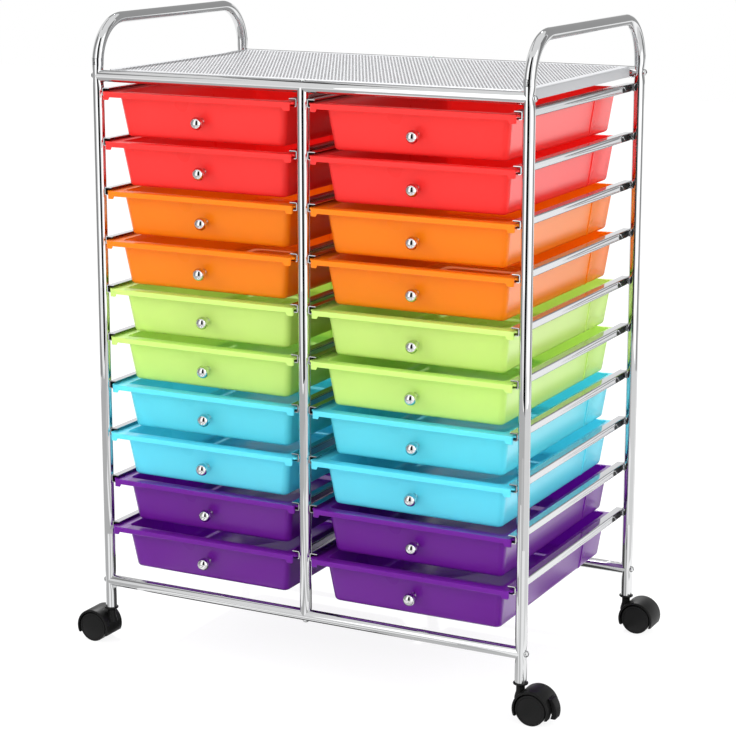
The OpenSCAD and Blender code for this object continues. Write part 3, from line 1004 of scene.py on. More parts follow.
    def weld(self, forge: Forge, side: int, x: float, z: float) -> None:
        """Adds the small welds between a channel's flat web and the round posts.

        Args:
            forge: the mesh to add to.
            side: the sign of X that the channel opens to.
            x: the web's place.
            z: the channel's middle.
        """
        for end in End:
            y = end.value * LINES.post_y
            rings = []
            for share in (-1, -0.8, 0.8, 1):
                fat = 1.0 if abs(share) < 1 else 0.55
                half = fat * self.weld_w / 2
                foot, crown = x + side * self.weld_sink, x - side * self.weld_out * fat
                ring = [(foot, y - half), (foot, y + half), (crown, y + half * 0.8),
                        (crown, y - half * 0.8)]
                height = z + share * (self.size / 2 - self.corner)
                rings.append([(px, py, height) for px, py in ring])
            forge.loft(rings)

    def block(self, forge: Forge, corner: Place, far: Place) -> None:
        """Adds a block between two opposite corners, its upright edges cut off a little."""
        ease = self.ease
        (x0, x1), (y0, y1) = sorted((corner[0], far[0])), sorted((corner[1], far[1]))
        ring = [(x0 + ease, y0), (x1 - ease, y0), (x1, y0 + ease), (x1, y1 - ease),
                (x1 - ease, y1), (x0 + ease, y1), (x0, y1 - ease), (x0, y0 + ease)]
        forge.loft([[(x, y, z) for x, y in ring] for z in sorted((corner[2], far[2]))])

    def liner(self, forge: Forge, side: int, x: float, z: float) -> None:
        """Adds the black liner in a channel's front end, in which the tray's flange slides."""
        half = self.size / 2 - self.sheet
        front = -LINES.post_y - self.over + self.liner_back
        rear = front + self.liner_l
        web, open_edge = x + side * self.sheet, x + side * (self.size - self.liner_back)
        for (xa, za), (xb, zb) in (
            ((web, half - self.insert), (open_edge, half)),
            ((web, -half), (web + side * self.insert, half - self.insert)),
            ((web + side * self.insert, -half), (open_edge, -half + self.liner_low)),
        ):
            self.block(forge, (xa, front, z + za), (xb, rear, z + zb))

    def catch(self, plastic: Forge, steel: Forge, side: int, x: float, z: float) -> None:
        """Adds the black stop behind the window, and the slanting wire spring in front of it.

        Args:
            plastic: the mesh of the stops.
            steel: the mesh of the springs.
            side: the sign of X that the channel opens to.
            x: the web's place.
            z: the channel's middle.
        """
        half = self.size / 2 - self.sheet - 2 * self.stop_clear
        line = self.window_line(self.slack)
        face, back = x + side * self.stop_face, x + side * (self.sheet + self.stop_clear)
        plastic.loft([[(px, y, z + h) for y, h in line] for px in (face, back)])
        low, high = min(y for y, _ in line), max(y for y, _ in line)
        near = (back, low - self.stop_over, z - half)
        far = (back + side * self.insert, high + self.stop_over, z + half)
        self.block(plastic, near, far)
        start = low + self.spring_from
        path = [(start + along, share * half) for along, share in self.spring_line]
        corners = [(-0.5, -0.5), (0.5, -0.5), (0.5, 0.5), (-0.5, 0.5)]
        for one, other in zip(path, path[1:]):
            steel.loft([
                [(x + side * (self.spring_in + a * self.spring_t), y, z + h + b * self.spring_w)
                 for a, b in corners]
                for y, h in (one, other)
            ])

    def build(self) -> list[bpy.types.Object]:
        """Builds all forty runners, their welds, liners and stops."""
        outer = {side: self.window(self.channel(-side.value, True)) for side in Side}
        inner = {side: self.channel(side.value, False) for side in Side}
        pieces = []
        welds, plastic, springs = Forge(), Forge(), Forge()
        for row in range(1, ROWS + 1):
            z = row_height(row)
            for side in Side:
                for kind, node, mesh, x in (
                    ("outer", "side_runners", outer[side], LINES.post_x - LINES.tube_r),
                    ("inner", "middle_runners", inner[side], LINES.tube_r),
                ):
                    name = f"runner_{kind}_{side.word}_{row:02d}"
                    piece = piece_of(mesh, name, "frame", [node])
                    piece.location = (side.value * x, 0, z)
                    opening = -side.value if kind == "outer" else side.value
                    self.weld(welds, opening, side.value * x, z)
                    self.liner(plastic, opening, side.value * x, z)
                    if kind == "outer":
                        self.catch(plastic, springs, opening, side.value * x, z)
                    pieces.append(piece)
        for piece in pieces:
            self.paint.dress(piece, "runner_steel")
        for name, forge, slot in (
            ("runner_welds", welds, "runner_steel"),
            ("runner_springs", springs, "runner_steel"),
            ("runner_stops", plastic, "socket_plastic"),
        ):
            piece = piece_of(forge.mesh(name), name, "frame")
            self.paint.dress(piece, slot)
            pieces.append(piece)
        return pieces


# ---------------------------------------------------------------- top shelf


@dataclass
class TopShelf:
    """The perforated sheet with its edges folded down, in two halves that meet in the middle."""

    paint: Paint
    sheet: float = 1.0 * MM
    fold: float = 14 * MM
    bend: float = 2.0 * MM
    side_gap: float = 1.5 * MM
    notch: float = 10 * MM
    pitch: float = 5.12 * MM
    spacing: float = 4.87 * MM
    hole_r: float = 1.8 * MM
    lines: int = 71
    across: int = 58
    lip: float = 7 * MM

    def __post_init__(self) -> None:
        """Works out the sheet's own lines."""
        self.top = LINES.high_rail + LINES.tube_r
        self.faces_z = (self.top, self.top - self.sheet)
        self.half_x = LINES.post_x - LINES.tube_r - self.side_gap
        self.half_y = LINES.post_y - LINES.tube_r
        self.notch_r = LINES.tube_r + self.notch
        self.field_y = self.lines * self.spacing / 2

    def outline(self) -> list[Flat]:
        """The flat part's edge in the right half, from the front's middle to the rear's."""
        edge_x, edge_y = self.half_x - self.bend, self.half_y - self.bend
        centre = (LINES.post_x, LINES.post_y)
        first = (centre[0] - math.sqrt(self.notch_r**2 - (centre[1] - edge_y) ** 2), edge_y)
        last = (edge_x, centre[1] - math.sqrt(self.notch_r**2 - (centre[0] - edge_x) ** 2))
        low = math.degrees(math.atan2(first[1] - centre[1], first[0] - centre[0]))
        high = math.degrees(math.atan2(last[1] - centre[1], last[0] - centre[0]))
        rear = [(0.0, edge_y), *arc(centre, self.notch_r, low, high, 10)]
        front = [(x, -y) for x, y in rear]
        return front + list(reversed(rear))

    def row_ends(self, row: int) -> Flat:
        """Where one row of holes starts and ends in the right half.

        Every other row stands half a pitch aside. Such a row has a hole on the middle line, which
        the right half has in the front and the left half in the rear.
        """
        if (row - self.lines // 2) % 2 == 0:
            return (0.0, self.across * self.pitch)
        start = -0.5 if row < self.lines // 2 else 0.5
        return (start * self.pitch, (self.across - 0.5) * self.pitch)

    def row_edge(self, end: int) -> list[Flat]:
        """The stepped line along the starts (0) or ends (1) of all rows, from front to rear."""
        line: list[Flat] = []
        for row in range(self.lines):
            x = self.row_ends(row)[end]
            y = row * self.spacing - self.field_y
            line += [(x, y), (x, y + self.spacing)]
        return line

    def cells(self, forge: Forge) -> None:
        """Adds the perforated field: a cell with a six-sided hole, over and over."""
        wide, deep = self.pitch / 2, self.spacing / 2
        border = ((-wide, -deep), (0, -deep), (wide, -deep), (wide, deep), (0, deep), (-wide, deep))
        hole = arc((0, 0), self.hole_r, -150, 150, 5)
        for row in range(self.lines):
            y = (row + 0.5) * self.spacing - self.field_y
            start, end = self.row_ends(row)
            for i in range(round((end - start) / self.pitch)):
                x = start + (i + 0.5) * self.pitch
                rims = []
                for z in self.faces_z:
                    around = forge.ring([(x + dx, y + dy, z) for dx, dy in border])
                    rims.append(forge.ring([(x + dx, y + dy, z) for dx, dy in hole]))
                    forge.strip(around, rims[-1])
                forge.strip(*rims)

    def margin(self, forge: Forge) -> None:
        """Adds the plain border round the field, and the cut edges of the sheet."""
        outer = self.outline()
        last = round(2 * self.row_ends(0)[1] / self.pitch)
        rear = [(i * self.pitch / 2, self.field_y) for i in range(last)]
        front = [(x, -y) for x, y in reversed(rear)]
        edge = outer + rear + list(reversed(self.row_edge(1))) + front
        triangles = tessellate_polygon([[Vector((x, y, 0)) for x, y in edge]])
        top, under = (forge.ring([(x, y, z) for x, y in edge]) for z in self.faces_z)
        for a, b, c in triangles:
            forge.faces.append((top[a], top[b], top[c]))
            forge.faces.append((under[c], under[b], under[a]))
        for i, ((xa, ya), (xb, yb)) in enumerate(zip(outer, outer[1:])):
            if min(abs(xa - xb), abs(ya - yb)) >= TINY:
                forge.faces.append((top[i], top[i + 1], under[i + 1], under[i]))

    def seam(self, forge: Forge) -> None:
        """Closes the half where it meets the other one."""
        edge = self.half_y - self.bend
        line = [(0.0, -edge), (0.0, -self.field_y), *self.row_edge(0), (0.0, self.field_y),
                (0.0, edge)]
        line = [p for i, p in enumerate(line) if i == 0 or p != line[i - 1]]
        top, under = (forge.ring([(x, y, z) for x, y in line]) for z in self.faces_z)
        forge.strip(top, under, closed=False)

    def folded(self, reach: float, drop: float) -> list[Flat]:
        """The section of a folded edge, outwards and down from the flat part.

        Args:
            reach: where the outer face of the fold stands.
            drop: how far the fold hangs below the top.

        Returns:
            (outward, height) points, the outer side first and back along the inner side.
        """
        middle = (reach - self.bend, self.top - self.bend)
        low = self.top - drop
        outer = [*arc(middle, self.bend, 90, 0, 6), (reach, low)]
        inner = [(reach - self.sheet, low), *arc(middle, self.bend - self.sheet, 0, 90, 6)]
        return outer + inner

    def folds(self, forge: Forge) -> None:
        """Adds the folded side edge and the front and rear lips of the half."""
        outline = self.outline()
        side_y = max(y for x, y in outline if abs(x - (self.half_x - self.bend)) < TINY)
        lip_x = max(x for x, y in outline if abs(y - (self.half_y - self.bend)) < TINY)
        section = self.folded(self.half_x, self.fold)
        self.extruded(forge, [[(r, y, z) for r, z in section] for y in (-side_y, side_y)])
        for end in End:
            section = self.folded(self.half_y, self.lip)
            self.extruded(forge, [[(x, end.value * r, z) for r, z in section] for x in (0, lip_x)])

    def extruded(self, forge: Forge, ends: list[list[Place]]) -> None:
        """Joins a folded section's two ends, open where it meets the flat part, and caps them."""
        one, other = (forge.ring(end) for end in ends)
        forge.strip(one, other, closed=False)
        for ring in (one, other):
            half = len(ring) // 2
            for i in range(half - 1):
                forge.faces.append((ring[i], ring[i + 1], ring[-2 - i], ring[-1 - i]))

    def build(self) -> list[bpy.types.Object]:
        """Builds both halves of the shelf."""
        forge = Forge()
        self.cells(forge)
        self.margin(forge)
        self.seam(forge)
        self.folds(forge)
        pieces = []
        right = forge.mesh("shelf_half_right", 30)
        left = right.copy()
        left.name = "shelf_half_left"
        left.transform(Matrix.Rotation(math.pi, 4, "Z"))
        for mesh, side in ((left, Side.LEFT), (right, Side.RIGHT)):
            piece = piece_of(mesh, f"shelf_half_{side.word}", "frame", ["top_shelf"])
            self.paint.dress(piece, "shelf_steel")
            self.darken_cuts(mesh)
            pieces.append(piece)
        return pieces

    def darken_cuts(self, mesh: bpy.types.Mesh) -> None:
        """Paints shade into the holes: their cut walls get a dark finish that stands in for the
        shade inside them.
        """
        mesh.materials.append(self.paint.materials["shelf_cut_edge"])
        for face in mesh.polygons:
            x, y, z = face.center
            inside = abs(x) < self.across * self.pitch and abs(y) < self.field_y
            if inside and z > self.top - self.sheet and abs(face.normal.z) < 0.5:
                face.material_index = 1


# ---------------------------------------------------------------- trays


class Tint(Enum):
    """The five tray colours, from the top pair of rows down."""

    RED = 0
    ORANGE = 1
    GREEN = 2
    BLUE = 3
    PURPLE = 4

    @classmethod
    def of_row(cls, row: int) -> "Tint":
        """The colour of a row, counted from 1 at the top."""
        return cls((row - 1) // 2)

    @property
    def slot(self) -> str:
        """The record's slot of this colour."""
        return f"tray_{self.name.lower()}"


@dataclass(frozen=True)
class Station:
    """One place round the tray, where the wall's line and the rim's edge are matched.

    Along is a place on the wall: 0 to 1 from the middle of the front to its corner, then 1 round
    the corner, 2 along the side, 3 round the rear corner and 4 to the middle of the rear.
    """

    along: float
    edge: Flat
    inward: Flat
    foot: float
    rib: float = 0.0


@dataclass
class Tray:
    """One tray, moulded in one piece: floor, leaning walls, rim, lip, stop tabs and sliding feet.

    Its own origin is at the middle of its column, on the line of the posts, between its runners.
    """

    wall: float = 2 * MM
    rim_up: float = 0.8 * MM
    depth: float = 61 * MM
    body_half: float = 130.75 * MM
    rim_half: float = 148.25 * MM
    lip_half: float = 144.5 * MM
    lip_front: float = -198 * MM
    rim_front: float = -193 * MM
    wall_front: float = -183 * MM
    wall_rear: float = 185 * MM
    rim_rear: float = 187 * MM
    side_taper: float = 8 * MM
    front_taper: float = 9 * MM
    rear_taper: float = 8 * MM
    corner_r: float = 9 * MM
    least_r: float = 1 * MM
    base_r: float = 5 * MM
    inner_r: float = 4 * MM
    rim_r: float = 4 * MM
    lip_r: float = 2.6 * MM
    edge_r: float = 0.8 * MM
    lip_h: float = 7 * MM
    tab_w: float = 9 * MM
    tab_h: float = 10.8 * MM
    foot_h: float = 5 * MM
    foot_from: float = -187 * MM
    foot_to: float = 179 * MM
    foot_slope: float = 0.8 * MM
    foot_ease: float = 0.35 * MM
    foot_share: float = 0.8
    hem: float = 0.5 * MM
    fillet: float = 0.5 * MM
    rib_y: float = 105 * MM
    rib_w: float = 2.2 * MM
    rib_h: float = 1.2 * MM
    rib_slope: float = 0.3 * MM
    stud_r: float = 2.2 * MM
    stud_h: float = 0.9 * MM
    stud_step: float = 0.4 * MM
    stud_sink: float = 0.2 * MM
    stud_z: float = -46 * MM
    inner_heights: tuple[float, ...] = (-40 * MM, -22 * MM, -8 * MM)
    outer_heights: tuple[float, ...] = (-14 * MM, -26 * MM, -38 * MM, -50 * MM)

    @property
    def height(self) -> float:
        """The tray's whole height."""
        return self.depth + self.rim_up

    def wall_point(self, station: Station, z: float, inset: float) -> Flat:
        """A point on the wall's line at a height.

        Args:
            station: the place round the tray.
            z: the height.
            inset: how far inside the outer face.

        Returns:
            The point.
        """
        share = (self.rim_up - z) / self.height
        x_half = self.body_half - share * self.side_taper - inset
        front = self.wall_front + share * self.front_taper + inset
        rear = self.wall_rear - share * self.rear_taper - inset
        radius = max(self.corner_r - inset, self.least_r)
        along = station.along
        if along <= 1:
            return (along * (x_half - radius), front)
        if along <= 2:
            angle = (along - 1) * math.pi / 2
            x = x_half - radius + radius * math.sin(angle)
            return (x, front + radius - radius * math.cos(angle))
        if along <= 3:
            low, high = front + radius, rear - radius
            return (x_half, low + (along - 2) * (high - low))
        if along <= 4:
            angle = (along - 3) * math.pi / 2
            x = x_half - radius + radius * math.cos(angle)
            return (x, rear - radius + radius * math.sin(angle))
        return ((5 - along) * (x_half - radius), rear)

    def front_stations(self) -> list[Station]:
        """Stations from the middle of the front lip to the start of the side's foot."""
        flush = self.rim_up - self.wall - self.hem
        lip, tab = self.rim_up - self.lip_h, self.rim_up - self.tab_h
        corner_x = self.body_half - self.corner_r
        front = self.lip_front
        straight = [(i / 6, (corner_x * i / 6, front), (0, 1), lip) for i in range(7)]
        tab_x = self.lip_half - self.tab_w
        lip_curve = arc((self.lip_half - self.lip_r, front + self.lip_r), self.lip_r, -90, 0, 4)
        side_start = [
            (1.12, (corner_x + 6 * MM, front), (0, 1), lip),
            (1.26, (tab_x - 1.2 * MM, front), (0, 1), lip),
            (1.38, (tab_x, front), (0, 1), tab + 0.6 * MM),
            (1.50, (tab_x + 0.8 * MM, front), (0, 1), tab),
        ]
        for i, (place, along) in enumerate(zip(lip_curve, (1.62, 1.72, 1.82, 1.91, 2.0))):
            angle = math.radians(-90 + 90 * i / 4)
            side_start.append((along, place, (-math.cos(angle), -math.sin(angle)), tab))
        diagonal = math.sqrt(0.5)
        small = self.rim_r / 2
        rim_curve = arc((self.rim_half - small, self.rim_front + small), small, -90, 0, 3)
        side_start += [
            (2.004, (self.lip_half, front + self.lip_r + 0.4 * MM), (-1, 0), flush),
            (2.008, (self.lip_half, self.rim_front), (-1.0, 1.0), flush),
            (2.012, rim_curve[0], (0, 1), flush),
            (2.016, rim_curve[1], (-0.5, diagonal + 0.16), flush),
            (2.020, rim_curve[2], (-diagonal - 0.16, 0.5), flush),
            (2.024, rim_curve[3], (-1, 0), flush),
        ]
        return [Station(*row) for row in straight + side_start]

    def side_stations(self) -> list[Station]:
        """Stations along the side, with the foot and the upright rib."""
        flush = self.rim_up - self.wall - self.hem
        foot = self.rim_up - self.foot_h
        low = self.wall_front + self.corner_r
        high = self.wall_rear - self.corner_r
        half = self.rib_w / 2
        marks = [(self.foot_from - self.foot_slope, flush, 0), (self.foot_from, foot, 0)]
        marks += [(low + (self.rib_y - low) * i / 6, foot, 0) for i in range(1, 6)]
        marks += [(self.rib_y - half - self.rib_slope, foot, 0), (self.rib_y - half, foot, 1)]
        marks += [(self.rib_y + half, foot, 1), (self.rib_y + half + self.rib_slope, foot, 0)]
        marks += [(self.rib_y + (high - self.rib_y) * i / 4, foot, 0) for i in range(1, 4)]
        made = []
        for y, bottom, rib in marks:
            along = 2 + max(0.03, (y - low) / (high - low))
            along += 0.003 if y == self.foot_from else 0
            made.append(Station(along, (self.rim_half, y), (-1, 0), bottom, rib))
        return made

    def rear_stations(self) -> list[Station]:
        """Stations round the rear corner to the middle of the rear rim."""
        flush = self.rim_up - self.wall - self.hem
        foot = self.rim_up - self.foot_h
        corner_x = self.body_half - self.corner_r
        high = self.wall_rear - self.corner_r
        curve = arc((self.rim_half - self.rim_r, self.rim_rear - self.rim_r), self.rim_r, 0, 90, 4)
        rows = [
            (3.0, (self.rim_half, high), (-1, 0), foot),
            (3.12, (self.rim_half, self.foot_to), (-1, 0), foot),
            (3.24, (self.rim_half, self.foot_to + self.foot_slope), (-1, 0), flush),
        ]
        for i, (place, along) in enumerate(zip(curve, (3.36, 3.48, 3.60, 3.72, 3.84))):
            angle = math.radians(90 * i / 4)
            rows.append((along, place, (-math.cos(angle), -math.sin(angle)), flush))
        for i in range(5):
            share = i / 4
            rows.append((4 + share, (corner_x * (1 - share), self.rim_rear), (0, -1), flush))
        return [Station(*row) for row in rows]

    def stations(self) -> list[tuple[Station, int]]:
        """All stations round the tray, each with the sign of X of its half."""
        right = self.front_stations() + self.side_stations() + self.rear_stations()
        left = [(s, -1) for s in reversed(right[1:-1])]
        return [(s, 1) for s in right] + left

    def section(self, station: Station) -> list[Place]:
        """The tray's section at one station, from the floor up, over the rim and down outside.

        Args:
            station: the place round the tray, in the right half.

        Returns:
            The section's points.
        """
        top, under = self.rim_up, self.rim_up - self.wall
        floor, base = -self.depth + self.wall, -self.depth
        points: list[Place] = []

        def at_wall(z: float, inset: float) -> None:
            """Adds a point of the wall."""
            x, y = self.wall_point(station, z, inset)
            points.append((x, y, z))

        def at_rim(z: float, inset: float) -> None:
            """Adds a point of the rim, inwards from its edge."""
            x = station.edge[0] + station.inward[0] * inset
            y = station.edge[1] + station.inward[1] * inset
            points.append((x, y, z))

        for i in range(5):
            angle = math.pi / 2 * i / 4
            rise, inset = self.inner_r * (1 - math.cos(angle)), self.inner_r * (1 - math.sin(angle))
            at_wall(floor + rise, self.wall + inset)
        for z in (*self.inner_heights, top - 2 * self.edge_r):
            at_wall(z, self.wall)
        for degrees in (30, 60, 90):
            turn = math.radians(degrees)
            drop, inset = self.edge_r * (1 - math.sin(turn)), self.edge_r * (1 - math.cos(turn))
            at_wall(top - drop, self.wall - inset)
        for degrees in (90, 60, 30, 0):
            turn = math.radians(degrees)
            drop, inset = self.edge_r * (1 - math.sin(turn)), self.edge_r * (1 - math.cos(turn))
            at_rim(top - drop, inset)
        ease, thick = self.foot_ease, self.wall * self.foot_share
        at_rim(station.foot + ease, 0)
        at_rim(station.foot, ease)
        at_rim(station.foot, thick - ease)
        at_rim(station.foot + ease, thick)
        at_rim(under, thick + 0.1 * MM)
        proud = station.rib * self.rib_h
        at_wall(under, -self.fillet)
        at_wall(under - self.fillet, -proud)
        for z in (*self.outer_heights, base + self.base_r):
            at_wall(z, -proud)
        for i in range(1, 6):
            angle = math.pi / 2 * i / 5
            inset = self.base_r * (1 - math.cos(angle)) - proud * math.cos(angle)
            at_wall(base + self.base_r * (1 - math.sin(angle)), inset)
        return points

    def mesh(self) -> bpy.types.Mesh:
        """The whole tray as one closed mesh."""
        forge = Forge()
        columns = []
        for station, sign in self.stations():
            columns.append([(sign * x, y, z) for x, y, z in self.section(station)])
        forge.loft([list(ring) for ring in zip(*columns)])
        self.rear_rib(forge)
        self.studs(forge)
        return forge.mesh("tray", 32)

    def rear_rib(self, forge: Forge) -> None:
        """Adds the thin upright rib inside the middle of the rear wall."""
        root, crest, proud, sunk = 0.7 * MM, 0.4 * MM, 0.7 * MM, 0.3 * MM
        rings = []
        for z in (-self.depth + self.wall + 1 * MM, -4 * MM):
            share = (self.rim_up - z) / self.height
            y = self.wall_rear - share * self.rear_taper - self.wall
            rings.append([(-root, y + sunk, z), (root, y + sunk, z), (crest, y - proud, z),
                          (-crest, y - proud, z)])
        forge.loft(rings)

    def studs(self, forge: Forge) -> None:
        """Adds a small round stud low on each side wall, on the rib."""
        share = (self.rim_up - self.stud_z) / self.height
        step = self.stud_step
        profile = [(self.stud_r, 0), (self.stud_r, step), (self.stud_r * 0.7, 2 * step),
                   (TIP, self.stud_h)]
        for sign in (-1, 1):
            x = sign * (self.body_half - share * self.side_taper - self.stud_sink)
            foot = Matrix.Translation((x, self.rib_y - step, self.stud_z))
            turn = Matrix.Rotation(sign * math.pi / 2, 4, "Y")
            forge.loft(placed(turned(profile, 16), foot @ turn))


@dataclass
class Knob:
    """The chromed ball knob with its foot, and its screw's head inside the tray.

    Its own origin is on the tray's front wall, with +Z out of the wall.
    """

    ball_r: float = 8.8 * MM
    stand: float = 12.8 * MM
    foot_r: float = 4.2 * MM
    rim_h: float = 0.3 * MM
    cone_h: float = 3.2 * MM
    neck_r: float = 3.15 * MM
    head_r: float = 4 * MM
    head_h: float = 2.4 * MM
    head_rim: float = 0.5 * MM
    drive_r: float = 1.2 * MM
    drive_depth: float = 1.2 * MM
    wall: float = 2 * MM
    segments: int = 48

    def profile(self) -> list[Flat]:
        """The knob's section from its foot to the top of the ball."""
        meet = math.asin(self.neck_r / self.ball_r)
        last = math.pi - 0.02
        angles = [meet + (last - meet) * i / 28 for i in range(29)]
        ball = [(self.ball_r * math.sin(a), self.stand - self.ball_r * math.cos(a)) for a in angles]
        narrows = self.foot_r - self.neck_r
        slope = [(self.foot_r - narrows * share, self.rim_h + self.cone_h * share)
                 for share in (i / 5 for i in range(6))]
        return [(self.foot_r, 0), *slope, *ball]

    def mesh(self) -> bpy.types.Mesh:
        """The knob and its screw head as one mesh."""
        forge = Forge()
        forge.loft(turned(self.profile(), self.segments))
        head = [(self.head_r, 0.0), (self.head_r, self.head_rim)]
        rise = self.head_h - self.head_rim
        head += [(self.head_r * x, self.head_rim + rise * z) for x, z in arc((0, 0), 1, 10, 62, 5)]
        top = head[-1][1]
        floor = top - self.drive_depth
        head += [(self.drive_r, top), (self.drive_r, floor), (TIP, floor)]
        flip = Matrix.Translation((0, 0, -self.wall)) @ Matrix.Rotation(math.pi, 4, "X")
        sides = {len(head) - 3: 4, len(head) - 2: 4}
        forge.loft(placed(turned(head, 32, sides), flip))
        return forge.mesh("knob", 35)


def row_height(row: int) -> float:
    """Height of the middle of a row's runners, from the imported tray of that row."""
    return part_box(f"drawer_left_{row:02d}")[1].z - Tray.rim_up


@dataclass
class Drawers:
    """The twenty trays and their knobs, each on the body that slides."""

    paint: Paint
    tray: Tray = field(default_factory=Tray)
    knob: Knob = field(default_factory=Knob)
    knob_drop: float = 33 * MM

    def place(self, side: Side, row: int) -> Vector:
        """Where a tray's own origin stands at rest."""
        low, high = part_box(f"drawer_{side.word}_{row:02d}")
        middle = (low.x + high.x) / 2
        return Vector((middle, low.y - self.tray.lip_front, high.z - self.tray.rim_up))

    def knob_matrix(self) -> Matrix:
        """From the knob's own frame to the tray's."""
        share = (self.knob_drop + self.tray.rim_up) / self.tray.height
        lean = math.atan(self.tray.front_taper / self.tray.height)
        foot = Vector((0, self.tray.wall_front + share * self.tray.front_taper, -self.knob_drop))
        return Matrix.Translation(foot) @ Matrix.Rotation(math.pi / 2 + lean, 4, "X")

    def build(self) -> list[bpy.types.Object]:
        """Builds the trays and knobs."""
        blank = self.tray.mesh()
        by_tint = {tint: blank.copy() for tint in Tint}
        knob = self.knob.mesh()
        pieces = []
        for side in Side:
            for row in range(1, ROWS + 1):
                tint = Tint.of_row(row)
                tag = f"{side.word}_{row:02d}"
                origin = Matrix.Translation(self.place(side, row))
                tray = piece_of(by_tint[tint], f"tray_{tag}", f"tray_{tag}", [f"drawer_{tag}"])
                tray.matrix_world = origin
                self.paint.dress(tray, tint.slot)
                ball = piece_of(knob, f"ball_knob_{tag}", f"tray_{tag}", [f"knob_{tag}"])
                ball.matrix_world = origin @ self.knob_matrix()
                self.paint.dress(ball, "knob_chrome")
                pieces += [tray, ball]
        return pieces


# ---------------------------------------------------------------- casters


